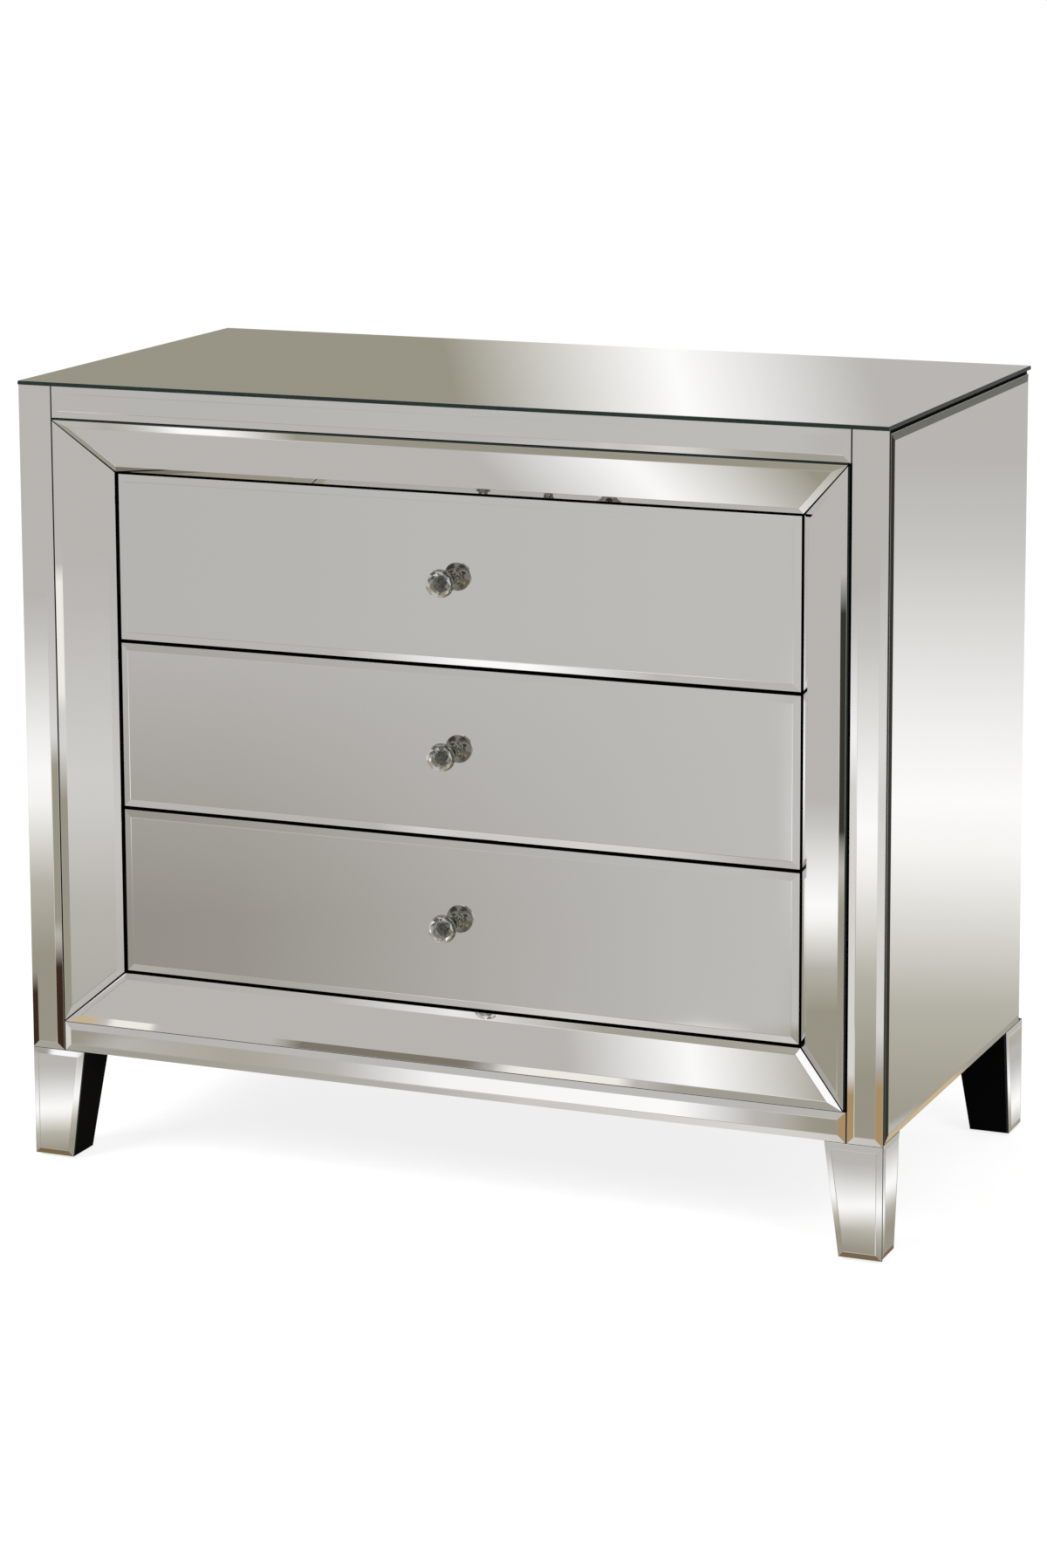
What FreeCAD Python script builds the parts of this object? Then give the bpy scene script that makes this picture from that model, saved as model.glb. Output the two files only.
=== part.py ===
import FreeCAD, Part

import math
import os

from FreeCAD import Vector

# Mirrored chest of three drawers, in millimetres.
# +Z is up and the front faces -Y. The origin is on the floor, under the middle of the whole chest.

# ---------------------------------------------------------------- driving dimensions

# Whole chest
WIDTH = 914.0                 # over the side mirrors
CASE_DEPTH = 470.0            # face of the border mirrors to the back of the back panel
CASE_HEIGHT = 690.0           # underside of the case to the face of the top mirror

# Mirror glass
GLASS = 4.0                   # thickness of every pane
BEVEL_WIDTH = 7.5             # ground bevel round the decorative panes
BEVEL_DEPTH = 1.4
ARRIS = 0.8                   # fine arris on the top mirror, as wide as it is deep
PANE_JOINT = 0.5              # joint between neighbouring panes

# Flat border of the front
STILE_WIDTH = 37.0
TOP_RAIL_HEIGHT = 32.5
BOTTOM_RAIL_HEIGHT = 30.5

# Sloping frame round the drawers, in front view
SLOPE_WIDTH = 55.5            # both sides and the top
SLOPE_WIDTH_BOTTOM = 50.0
SLOPE_RECESS = 28.5           # border face to the inner edge of the slope
MOULDING_DEPTH = 36.0         # border face to the back of the moulding
MOULDING_NOSE = 3.0           # inner edge of the pane to the nose of the moulding
GLUE = 0.25                   # glue bed behind the sloping panes

# Carcass boards
BOARD = 15.0                  # top, bottom and sides
FACE_FRAME = 18.0
BACK_PANEL = 4.0
SIDE_REVEAL = 7.0             # dark strip between the stile mirror and the side mirror
TOP_REVEAL = 4.0              # dark strip between the top mirror and the side mirror
POST_WIDTH = 40.0             # rear posts that carry the runner rails
POST_DEPTH = 30.0
RUNNER_RAIL = 20.0            # thickness of a runner rail
RUNNER_RAIL_HEIGHT = 55.0

# Feet
FOOT_HEIGHT = 113.0
FOOT_TOP = 58.5               # square over the panes at the top
FOOT_TIP = 43.5               # square over the panes at the floor
REAR_FOOT_STAND = 8.0         # rear feet stand this far behind the back panel
FOOT_BEVEL = 6.0
GLIDE_HEIGHT = 3.0
GLIDE_RADIUS = 12.0
BOLT_RADIUS = 4.0
BOLT_IN_FOOT = 40.0
BOLT_HEAD_ACROSS = 13.0       # across the flats of the hexagon
BOLT_HEAD_HEIGHT = 5.3
BOLT_CLEARANCE = 0.25         # round the shank in the bottom board
BOLT_THREAD_FIT = 0.05        # round the shank in the foot
BOLT_FROM_CORNER = 41.0       # bolt axis from the outer faces of a front foot
BOLT_FROM_REAR = 45.0         # bolt axis from the rear face of a rear foot

# Drawers
DRAWERS = 3
DRAWER_GAP_SIDE = 2.5
DRAWER_GAP_END = 2.0          # above the first front and below the last
DRAWER_GAP = 3.75             # between the fronts
DRAWER_RECESS = 30.0          # border face to the face of the drawer mirrors
FRONT_BOARD = 15.0
FRONT_BOARD_INSET = 1.0       # board edge inside the edge of its mirror
BOX_BOARD = 12.0              # drawer sides and back
BOX_HEIGHT = 120.0
BOX_LENGTH = 390.0
BOX_LIFT = 14.0               # underside of the box above the bottom of the front
BOX_BOTTOM = 5.0              # plywood
GROOVE_DEPTH = 6.0
GROOVE_LIFT = 9.0             # groove above the lower edge of the box
GROOVE_CLEARANCE = 0.2

# Telescopic slides
SLIDE_LENGTH = 400.0
SLIDE_HEIGHT = 45.0
SLIDE_SPACE = 12.7            # runner rail to drawer side
SLIDE_SHEET = 1.2
SLIDE_LIP = 2.0
SLIDE_RUN = 0.4               # running gap between members
SLIDE_CASE_DEPTH = 9.6        # depth of the case member's channel
SLIDE_SETBACK = 3.0           # slide behind the back of the drawer front
SLIDE_LIFT = 59.0             # slide axis above the lower edge of the box

# Knobs: radii, and distances out from the face of the drawer mirror
KNOB_BASE_RADIUS = 7.0
KNOB_BASE_THICKNESS = 1.5
KNOB_NECK_RADIUS = 4.6
KNOB_NECK_END = 6.5
KNOB_TRUMPET_RADIUS = 7.2     # the trumpet passes through this radius
KNOB_TRUMPET_AT = 14.7        # at this reach
KNOB_TRUMPET_BANDS = 2        # cones that follow the trumpet's curve
KNOB_RIM_RADIUS = 14.0
KNOB_RIM_THICKNESS = 1.0
KNOB_RIM_AT = 20.8            # the crystal is seated on this face
CRYSTAL_FACETS = 10
CRYSTAL_RADIUS = 13.2
CRYSTAL_TABLE_RADIUS = 7.0
CRYSTAL_STAR_RADIUS = 10.6
CRYSTAL_SEAT_RADIUS = 7.5
CRYSTAL_GIRDLE_AT = 25.3
CRYSTAL_GIRDLE_THICKNESS = 1.2
CRYSTAL_STAR_DROP = 3.0       # table to the tips of the star facets
KNOB_REACH = 35.0             # face of the crystal's table
SCREW_RADIUS = 2.0
SCREW_HEAD_RADIUS = 4.0
SCREW_HEAD_HEIGHT = 2.4
SCREW_IN_KNOB = 9.0
SCREW_THREAD_FIT = 0.05
SCREW_CLEARANCE = 0.5

# ---------------------------------------------------------------- levels and lines that follow

HALF = WIDTH / 2
CASE_BOTTOM = GLIDE_HEIGHT + FOOT_HEIGHT
CASE_TOP = CASE_BOTTOM + CASE_HEIGHT
BOARD_TOP = CASE_TOP - GLASS                   # the top mirror lies on this level
BOARD_HALF = HALF - GLASS                      # outer face of the side boards

FRAME_X = HALF - STILE_WIDTH                   # outer corner of the sloping frame
FRAME_TOP = BOARD_TOP - TOP_RAIL_HEIGHT
FRAME_BOTTOM = CASE_BOTTOM + BOTTOM_RAIL_HEIGHT
OPEN_X = FRAME_X - SLOPE_WIDTH                 # opening that the drawers fill
OPEN_TOP = FRAME_TOP - SLOPE_WIDTH
OPEN_BOTTOM = FRAME_BOTTOM + SLOPE_WIDTH_BOTTOM

# A sloping pane's back passes through the border face at its outer edge, and its face through the
# inner edge at the full recess.
SLOPE_ANGLE = math.atan2(SLOPE_RECESS, SLOPE_WIDTH) + math.asin(
    GLASS / math.hypot(SLOPE_WIDTH, SLOPE_RECESS))
SLOPE_PROUD = GLASS * math.cos(SLOPE_ANGLE)    # outer edge of the pane's face in front of the border
SLOPE_STEP = GLASS * math.sin(SLOPE_ANGLE)     # and this far inside the frame's outer line

FRONT_REACH = max(KNOB_REACH - DRAWER_RECESS, SLOPE_PROUD)
FRONT = FRONT_REACH - (FRONT_REACH + CASE_DEPTH + REAR_FOOT_STAND) / 2
BORDER_BACK = FRONT + GLASS
CARCASS_FRONT = BORDER_BACK + FACE_FRAME
BACK = FRONT + CASE_DEPTH
CARCASS_BACK = BACK - BACK_PANEL

DRAWER_FACE = FRONT + DRAWER_RECESS
DRAWER_BOARD = DRAWER_FACE + GLASS
BOX_FRONT = DRAWER_BOARD + FRONT_BOARD
BOX_BACK = BOX_FRONT + BOX_LENGTH
DRAWER_HALF = OPEN_X - DRAWER_GAP_SIDE
DRAWER_STACK = OPEN_TOP - OPEN_BOTTOM - 2 * DRAWER_GAP_END
DRAWER_HEIGHT = (DRAWER_STACK - (DRAWERS - 1) * DRAWER_GAP) / DRAWERS
DRAWER_PITCH = DRAWER_HEIGHT + DRAWER_GAP
BOX_HALF = OPEN_X - SLIDE_SPACE
SLIDE_FRONT = BOX_FRONT + SLIDE_SETBACK
POST_FRONT = CARCASS_BACK - POST_DEPTH


def drawer_bottom(number):
    """Lower edge of a drawer front; drawer 1 is the top one."""
    return OPEN_BOTTOM + DRAWER_GAP_END + (DRAWERS - number) * DRAWER_PITCH


def slide_level(number):
    return drawer_bottom(number) + BOX_LIFT + SLIDE_LIFT


# ---------------------------------------------------------------- shapes

def block(x0, x1, y0, y1, z0, z1):
    return Part.makeBox(x1 - x0, y1 - y0, z1 - z0, Vector(x0, y0, z0))


def mirror_x(shape):
    return shape.mirror(Vector(0, 0, 0), Vector(1, 0, 0))


def both_sides(shape):
    """The shape and its twin on the other side of the chest."""
    return [shape, mirror_x(shape)]


def rod(centre, axis, radius, length):
    return Part.makeCylinder(radius, length, centre, axis)


def flat_face(points):
    return Part.Face(Part.makePolygon(points + points[:1]))


def closed_solid(faces):
    solid = Part.Solid(Part.Shell(faces))
    if solid.Volume < 0:
        solid.reverse()
    return solid


def stacked_solid(rings):
    """Solid between rings of equally many corners, with flat faces from each ring to the next."""
    faces = [flat_face(rings[0]), flat_face(rings[-1])]
    count = len(rings[0])
    for lower, upper in zip(rings, rings[1:]):
        for i in range(count):
            j = (i + 1) % count
            faces.append(flat_face([lower[i], lower[j], upper[j], upper[i]]))
    return closed_solid(faces)


def inset_corners(corners, outward, distance):
    """Corners of a convex outline moved inwards, parallel to its edges."""
    count = len(corners)
    moved = []
    for i in range(count):
        before = (corners[i] - corners[i - 1]).normalize()
        after = (corners[(i + 1) % count] - corners[i]).normalize()
        in_before = outward.cross(before)
        in_after = outward.cross(after)
        share = distance / (1 + in_before.dot(in_after))
        moved.append(corners[i] + (in_before + in_after) * share)
    return moved


def pane(corners, bevel_width=BEVEL_WIDTH, bevel_depth=BEVEL_DEPTH):
    """Pane of glass with a bevel all round; its corners run anticlockwise, seen from outside."""
    along = corners[1] - corners[0]
    outward = along.cross(corners[-1] - corners[0]).normalize()
    face = inset_corners(corners, outward, bevel_width)
    edge = [corner - outward * bevel_depth for corner in corners]
    back = [corner - outward * GLASS for corner in corners]
    return stacked_solid([face, edge, back])


def front_pane(x0, x1, z0, z1, y=FRONT):
    return pane([Vector(x0, y, z0), Vector(x1, y, z0), Vector(x1, y, z1), Vector(x0, y, z1)])


def save(name, solids):
    shape = solids[0] if len(solids) == 1 else Part.makeCompound(solids)
    shape.exportStep("parts/" + name + ".step")


# ---------------------------------------------------------------- carcass

def side_board():
    return block(BOARD_HALF - BOARD, BOARD_HALF, CARCASS_FRONT, CARCASS_BACK,
                 CASE_BOTTOM, BOARD_TOP - BOARD)


def top_board():
    return block(-BOARD_HALF, BOARD_HALF, CARCASS_FRONT, CARCASS_BACK, BOARD_TOP - BOARD, BOARD_TOP)


def bottom_board():
    """Between the side boards, drilled for the bolts of the feet."""
    reach = BOARD_HALF - BOARD
    board = block(-reach, reach, CARCASS_FRONT, CARCASS_BACK, CASE_BOTTOM, CASE_BOTTOM + BOARD)
    for x, y in foot_bolt_places():
        hole = rod(Vector(x, y, CASE_BOTTOM), Vector(0, 0, 1), BOLT_RADIUS + BOLT_CLEARANCE, BOARD)
        board = board.cut(hole)
    return board


def back_panel():
    return block(-BOARD_HALF, BOARD_HALF, CARCASS_BACK, BACK, CASE_BOTTOM, BOARD_TOP)


def face_frame():
    """Two stiles with a rail between them at the top and at the bottom."""
    stile = block(FRAME_X, BOARD_HALF, BORDER_BACK, CARCASS_FRONT, CASE_BOTTOM, BOARD_TOP)
    top = block(-FRAME_X, FRAME_X, BORDER_BACK, CARCASS_FRONT, FRAME_TOP, BOARD_TOP)
    bottom = block(-FRAME_X, FRAME_X, BORDER_BACK, CARCASS_FRONT, CASE_BOTTOM, FRAME_BOTTOM)
    return both_sides(stile) + [top, bottom]


def frame_loop(x, z0, z1, y):
    """Corners of a rectangle in a front plane, anticlockwise from the lower left."""
    return [Vector(-x, y, z0), Vector(x, y, z0), Vector(x, y, z1), Vector(-x, y, z1)]


def sloping_moulding():
    """Four mitred lengths of moulding that carry the sloping panes, order bottom, right, top, left."""
    nose_share = 1 - MOULDING_NOSE / SLOPE_WIDTH
    nose_x = FRAME_X - SLOPE_WIDTH * nose_share
    nose_bottom = FRAME_BOTTOM + SLOPE_WIDTH_BOTTOM * nose_share
    nose_top = FRAME_TOP - SLOPE_WIDTH * nose_share
    steepest = (SLOPE_RECESS + SLOPE_PROUD) / (SLOPE_WIDTH_BOTTOM - SLOPE_STEP)
    outer_y = FRONT + GLUE / math.cos(SLOPE_ANGLE)
    nose_y = outer_y + steepest * SLOPE_WIDTH_BOTTOM * nose_share
    back_y = FRONT + MOULDING_DEPTH
    outer = frame_loop(FRAME_X, FRAME_BOTTOM, FRAME_TOP, outer_y)
    nose = frame_loop(nose_x, nose_bottom, nose_top, nose_y)
    outer_back = frame_loop(FRAME_X, FRAME_BOTTOM, FRAME_TOP, back_y)
    nose_back = frame_loop(nose_x, nose_bottom, nose_top, back_y)
    lengths = []
    for i in range(4):
        j = (i + 1) % 4
        slope = [outer[i], outer[j], nose[j], nose[i]]
        rear = [outer_back[i], outer_back[j], nose_back[j], nose_back[i]]
        lengths.append(stacked_solid([slope, rear]))
    return lengths


def rear_posts():
    return both_sides(block(OPEN_X, OPEN_X + POST_WIDTH, POST_FRONT, CARCASS_BACK,
                            CASE_BOTTOM + BOARD, BOARD_TOP - BOARD))


def runner_rails():
    """A rail each side of every drawer, from the moulding to the rear post."""
    rails = []
    for number in range(1, DRAWERS + 1):
        level = slide_level(number)
        rails += both_sides(block(OPEN_X, OPEN_X + RUNNER_RAIL, FRONT + MOULDING_DEPTH, POST_FRONT,
                                  level - RUNNER_RAIL_HEIGHT / 2, level + RUNNER_RAIL_HEIGHT / 2))
    return rails


# ---------------------------------------------------------------- mirrors of the case

def top_mirror():
    corners = [Vector(-HALF, FRONT, CASE_TOP), Vector(HALF, FRONT, CASE_TOP),
               Vector(HALF, BACK, CASE_TOP), Vector(-HALF, BACK, CASE_TOP)]
    return pane(corners, ARRIS, ARRIS)


def side_mirror():
    front = BORDER_BACK + SIDE_REVEAL
    top = BOARD_TOP - TOP_REVEAL
    return pane([Vector(HALF, front, CASE_BOTTOM), Vector(HALF, CARCASS_BACK, CASE_BOTTOM),
                 Vector(HALF, CARCASS_BACK, top), Vector(HALF, front, top)])


def stile_mirror():
    return front_pane(FRAME_X + PANE_JOINT / 2, HALF, CASE_BOTTOM, BOARD_TOP)


def rail_mirror(z0, z1):
    reach = FRAME_X - PANE_JOINT / 2
    return front_pane(-reach, reach, z0, z1)


def sloping_panes():
    """Four mitred panes, order bottom, right, top, left, each a joint short of the next."""
    outer = frame_loop(FRAME_X - SLOPE_STEP, FRAME_BOTTOM + SLOPE_STEP, FRAME_TOP - SLOPE_STEP,
                       FRONT - SLOPE_PROUD)
    inner = frame_loop(OPEN_X, OPEN_BOTTOM, OPEN_TOP, FRONT + SLOPE_RECESS)
    panes = []
    for i in range(4):
        j = (i + 1) % 4
        along = (outer[j] - outer[i]).normalize() * (PANE_JOINT / 2)
        panes.append(pane([outer[i] + along, outer[j] - along, inner[j] - along, inner[i] + along]))
    return panes


# ---------------------------------------------------------------- feet

def foot_post(front_face, back_face, tip_front, tip_back):
    """Tapered post of a right-hand foot, upright on its outer face."""
    inner_top = HALF - FOOT_TOP
    inner_tip = HALF - FOOT_TIP
    top = [Vector(inner_top, front_face, CASE_BOTTOM), Vector(BOARD_HALF, front_face, CASE_BOTTOM),
           Vector(BOARD_HALF, back_face, CASE_BOTTOM), Vector(inner_top, back_face, CASE_BOTTOM)]
    tip = [Vector(inner_tip, tip_front, GLIDE_HEIGHT), Vector(BOARD_HALF, tip_front, GLIDE_HEIGHT),
           Vector(BOARD_HALF, tip_back, GLIDE_HEIGHT), Vector(inner_tip, tip_back, GLIDE_HEIGHT)]
    return stacked_solid([top, tip])


def foot_bolt_places_right():
    """Axes of the front and the rear bolt on the right-hand side."""
    x = HALF - BOLT_FROM_CORNER
    return [(x, FRONT + BOLT_FROM_CORNER), (x, BACK + REAR_FOOT_STAND - BOLT_FROM_REAR)]


def foot_bolt_places():
    right = foot_bolt_places_right()
    return right + [(-x, y) for x, y in right]


def drilled_foot(post, place):
    x, y = place
    hole = rod(Vector(x, y, CASE_BOTTOM - BOLT_IN_FOOT), Vector(0, 0, 1),
               BOLT_RADIUS + BOLT_THREAD_FIT, BOLT_IN_FOOT)
    return post.cut(hole)


def front_foot():
    post = foot_post(BORDER_BACK, FRONT + FOOT_TOP, BORDER_BACK, FRONT + FOOT_TIP)
    return drilled_foot(post, foot_bolt_places_right()[0])


def rear_foot():
    rear = BACK + REAR_FOOT_STAND
    post = foot_post(rear - FOOT_TOP, rear, rear - FOOT_TIP, rear)
    return drilled_foot(post, foot_bolt_places_right()[1])


def foot_pane(corners):
    return pane(corners, FOOT_BEVEL, BEVEL_DEPTH)


def front_foot_panes():
    """The front pane runs to the corner, and the side pane stands behind it."""
    top = CASE_BOTTOM - PANE_JOINT
    tip = GLIDE_HEIGHT
    front = foot_pane([Vector(HALF - FOOT_TIP, FRONT, tip), Vector(HALF, FRONT, tip),
                       Vector(HALF, FRONT, top), Vector(HALF - FOOT_TOP, FRONT, top)])
    start = BORDER_BACK + PANE_JOINT
    side = foot_pane([Vector(HALF, start, tip), Vector(HALF, FRONT + FOOT_TIP, tip),
                      Vector(HALF, FRONT + FOOT_TOP, top), Vector(HALF, start, top)])
    return [front, side]


def rear_foot_pane():
    top = CASE_BOTTOM - PANE_JOINT
    tip = GLIDE_HEIGHT
    rear = BACK + REAR_FOOT_STAND
    return foot_pane([Vector(HALF, rear - FOOT_TIP, tip), Vector(HALF, rear, tip),
                      Vector(HALF, rear, top), Vector(HALF, rear - FOOT_TOP, top)])


def foot_bolt(place):
    """Hexagon bolt through the bottom board into the foot."""
    x, y = place
    head_z = CASE_BOTTOM + BOARD
    corner = BOLT_HEAD_ACROSS / math.sqrt(3)
    points = [Vector(x + corner * math.cos(k * math.pi / 3), y + corner * math.sin(k * math.pi / 3),
                     head_z) for k in range(6)]
    head = flat_face(points).extrude(Vector(0, 0, BOLT_HEAD_HEIGHT))
    shank = rod(Vector(x, y, CASE_BOTTOM - BOLT_IN_FOOT), Vector(0, 0, 1), BOLT_RADIUS,
                BOLT_IN_FOOT + BOARD)
    return head.fuse(shank)


def glide(x, y):
    """Nylon disc under a foot."""
    return rod(Vector(x, y, 0), Vector(0, 0, 1), GLIDE_RADIUS, GLIDE_HEIGHT)


def glides():
    x = (HALF - FOOT_TIP + BOARD_HALF) / 2
    front = FRONT + (FOOT_TIP + GLASS) / 2
    rear = BACK + REAR_FOOT_STAND - FOOT_TIP / 2
    return both_sides(glide(x, front)) + both_sides(glide(x, rear))


# ---------------------------------------------------------------- telescopic slides

def right_slide_member(section, level):
    """Section given by its distance in from the runner rail and its height from the slide's axis."""
    points = [Vector(OPEN_X - across, SLIDE_FRONT, level + up) for across, up in section]
    return flat_face(points).extrude(Vector(0, SLIDE_LENGTH, 0))


def channel_section(near, far, half):
    """C channel: web at the near side, lips turned inwards at the far side."""
    inside = half - SLIDE_SHEET
    lip = inside - SLIDE_LIP
    upper = [(near, half), (far, half), (far, lip), (far - SLIDE_SHEET, lip),
             (far - SLIDE_SHEET, inside), (near + SLIDE_SHEET, inside)]
    return upper + [(across, -up) for across, up in reversed(upper)]


def hat_section(near, far, half):
    """Hat channel: web at the far side, lips turned outwards at the near side."""
    inside = half - SLIDE_SHEET
    lip = half + SLIDE_LIP
    upper = [(near, inside), (near, lip), (near + SLIDE_SHEET, lip), (near + SLIDE_SHEET, half),
             (far, half)]
    web = far - SLIDE_SHEET
    return upper + [(across, -up) for across, up in reversed(upper)] + [(web, -inside), (web, inside)]


CASE_MEMBER_HALF = SLIDE_HEIGHT / 2
MIDDLE_NEAR = SLIDE_SHEET + SLIDE_RUN
MIDDLE_FAR = SLIDE_CASE_DEPTH - SLIDE_SHEET - SLIDE_RUN
MIDDLE_HALF = CASE_MEMBER_HALF - SLIDE_SHEET - SLIDE_RUN
DRAWER_MEMBER_NEAR = MIDDLE_FAR - 2 * SLIDE_SHEET - SLIDE_RUN
DRAWER_MEMBER_HALF = MIDDLE_HALF - SLIDE_SHEET - SLIDE_LIP - SLIDE_RUN


def case_members():
    members = []
    for number in range(1, DRAWERS + 1):
        section = channel_section(0, SLIDE_CASE_DEPTH, CASE_MEMBER_HALF)
        members += both_sides(right_slide_member(section, slide_level(number)))
    return members


def middle_members(number):
    section = channel_section(MIDDLE_NEAR, MIDDLE_FAR, MIDDLE_HALF)
    return both_sides(right_slide_member(section, slide_level(number)))


def drawer_members(number):
    section = hat_section(DRAWER_MEMBER_NEAR, SLIDE_SPACE, DRAWER_MEMBER_HALF)
    return both_sides(right_slide_member(section, slide_level(number)))


# ---------------------------------------------------------------- drawers

def groove_level(number):
    return drawer_bottom(number) + BOX_LIFT + GROOVE_LIFT


def groove(number, x, y0, y1):
    """Space of the groove that takes the drawer bottom."""
    level = groove_level(number)
    return block(-x, x, y0, y1, level, level + BOX_BOTTOM + GROOVE_CLEARANCE)


def knob_centre(number):
    return Vector(0, DRAWER_FACE, drawer_bottom(number) + DRAWER_HEIGHT / 2)


def screw_hole(number):
    return rod(knob_centre(number), Vector(0, 1, 0), SCREW_RADIUS + SCREW_CLEARANCE,
               GLASS + FRONT_BOARD)


def drawer_mirror(number):
    low = drawer_bottom(number)
    glass = front_pane(-DRAWER_HALF, DRAWER_HALF, low, low + DRAWER_HEIGHT, DRAWER_FACE)
    return glass.cut(screw_hole(number))


def drawer_front(number):
    """Board behind the mirror, grooved for the drawer bottom and drilled for the knob."""
    low = drawer_bottom(number)
    half = DRAWER_HALF - FRONT_BOARD_INSET
    board = block(-half, half, DRAWER_BOARD, BOX_FRONT,
                  low + FRONT_BOARD_INSET, low + DRAWER_HEIGHT - FRONT_BOARD_INSET)
    board = board.cut(groove(number, BOX_HALF - BOX_BOARD + GROOVE_DEPTH,
                             BOX_FRONT - GROOVE_DEPTH, BOX_FRONT))
    return board.cut(screw_hole(number))


def drawer_sides(number):
    low = drawer_bottom(number) + BOX_LIFT
    side = block(BOX_HALF - BOX_BOARD, BOX_HALF, BOX_FRONT, BOX_BACK, low, low + BOX_HEIGHT)
    side = side.cut(groove(number, BOX_HALF - BOX_BOARD + GROOVE_DEPTH, BOX_FRONT, BOX_BACK))
    return both_sides(side)


def drawer_back(number):
    """Between the sides, standing on the drawer bottom."""
    half = BOX_HALF - BOX_BOARD
    return block(-half, half, BOX_BACK - BOX_BOARD, BOX_BACK, groove_level(number) + BOX_BOTTOM,
                 drawer_bottom(number) + BOX_LIFT + BOX_HEIGHT)


def drawer_base(number):
    """Plywood bottom, lying in the grooves of the sides and the front."""
    half = BOX_HALF - BOX_BOARD + GROOVE_DEPTH - GROOVE_CLEARANCE
    level = groove_level(number)
    return block(-half, half, BOX_FRONT - GROOVE_DEPTH + GROOVE_CLEARANCE, BOX_BACK,
                 level, level + BOX_BOTTOM)


# ---------------------------------------------------------------- knobs

def turned(profile, centre):
    """Solid of revolution about the knob's axis; profiles lie in the plane of radius and reach."""
    solid = flat_face(profile).revolve(Vector(0, 0, 0), Vector(0, 1, 0), 360)
    solid.translate(centre)
    return solid


def at(radius, reach):
    return Vector(radius, -reach, 0)


def knob_base(number):
    """Chrome base, tapped for the screw: a small foot, a neck and a trumpet that flares to the rim."""
    thread = SCREW_RADIUS + SCREW_THREAD_FIT
    stem = [at(thread, SCREW_IN_KNOB), at(thread, 0), at(KNOB_BASE_RADIUS, 0),
            at(KNOB_BASE_RADIUS, KNOB_BASE_THICKNESS), at(KNOB_NECK_RADIUS, KNOB_BASE_THICKNESS)]
    curve = Part.Arc(at(KNOB_NECK_RADIUS, KNOB_NECK_END), at(KNOB_TRUMPET_RADIUS, KNOB_TRUMPET_AT),
                     at(KNOB_RIM_RADIUS, KNOB_RIM_AT - KNOB_RIM_THICKNESS)).toShape()
    trumpet = curve.discretize(KNOB_TRUMPET_BANDS + 1)
    seat = [at(KNOB_RIM_RADIUS, KNOB_RIM_AT), at(0, KNOB_RIM_AT), at(0, SCREW_IN_KNOB)]
    return turned(stem + trumpet + seat, knob_centre(number))


def crystal_ring(radius, reach, phase, centre):
    step = 2 * math.pi / CRYSTAL_FACETS
    return [centre + Vector(radius * math.cos((k + phase) * step), -reach,
                            radius * math.sin((k + phase) * step)) for k in range(CRYSTAL_FACETS)]


def facet_band(aligned, turned_ring):
    """Triangles between a ring and one turned by half a facet."""
    faces = []
    for i in range(CRYSTAL_FACETS):
        j = (i + 1) % CRYSTAL_FACETS
        faces.append(flat_face([aligned[i], turned_ring[i], aligned[j]]))
        faces.append(flat_face([turned_ring[i], aligned[j], turned_ring[j]]))
    return faces


def knob_crystal(number):
    """Cut-glass head: table, star and main facets, girdle, and facets back to its flat seat."""
    centre = knob_centre(number)
    girdle_top = CRYSTAL_GIRDLE_AT + CRYSTAL_GIRDLE_THICKNESS
    table = crystal_ring(CRYSTAL_TABLE_RADIUS, KNOB_REACH, 0, centre)
    star = crystal_ring(CRYSTAL_STAR_RADIUS, KNOB_REACH - CRYSTAL_STAR_DROP, 0.5, centre)
    girdle_front = crystal_ring(CRYSTAL_RADIUS, girdle_top, 0, centre)
    girdle_back = crystal_ring(CRYSTAL_RADIUS, CRYSTAL_GIRDLE_AT, 0, centre)
    seat = crystal_ring(CRYSTAL_SEAT_RADIUS, KNOB_RIM_AT, 0.5, centre)
    faces = [flat_face(table), flat_face(seat)]
    faces += facet_band(table, star) + facet_band(girdle_front, star) + facet_band(girdle_back, seat)
    for i in range(CRYSTAL_FACETS):
        j = (i + 1) % CRYSTAL_FACETS
        faces.append(flat_face([girdle_front[i], girdle_front[j], girdle_back[j], girdle_back[i]]))
    return closed_solid(faces)


def knob_screw(number):
    """Machine screw from inside the drawer front, through board and mirror, into the knob."""
    centre = knob_centre(number)
    through = GLASS + FRONT_BOARD
    shank = rod(centre + Vector(0, through, 0), Vector(0, -1, 0), SCREW_RADIUS,
                through + SCREW_IN_KNOB)
    head = rod(centre + Vector(0, through, 0), Vector(0, 1, 0), SCREW_HEAD_RADIUS, SCREW_HEAD_HEIGHT)
    return head.fuse(shank)


# ---------------------------------------------------------------- assembly

def save_case():
    save("top_board", [top_board()])
    save("bottom_board", [bottom_board()])
    save("side_board_right", [side_board()])
    save("side_board_left", [mirror_x(side_board())])
    save("back_panel", [back_panel()])
    save("face_frame", face_frame())
    save("sloping_moulding", sloping_moulding())
    save("rear_posts", rear_posts())
    save("runner_rails", runner_rails())
    save("slide_case_members", case_members())


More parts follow.
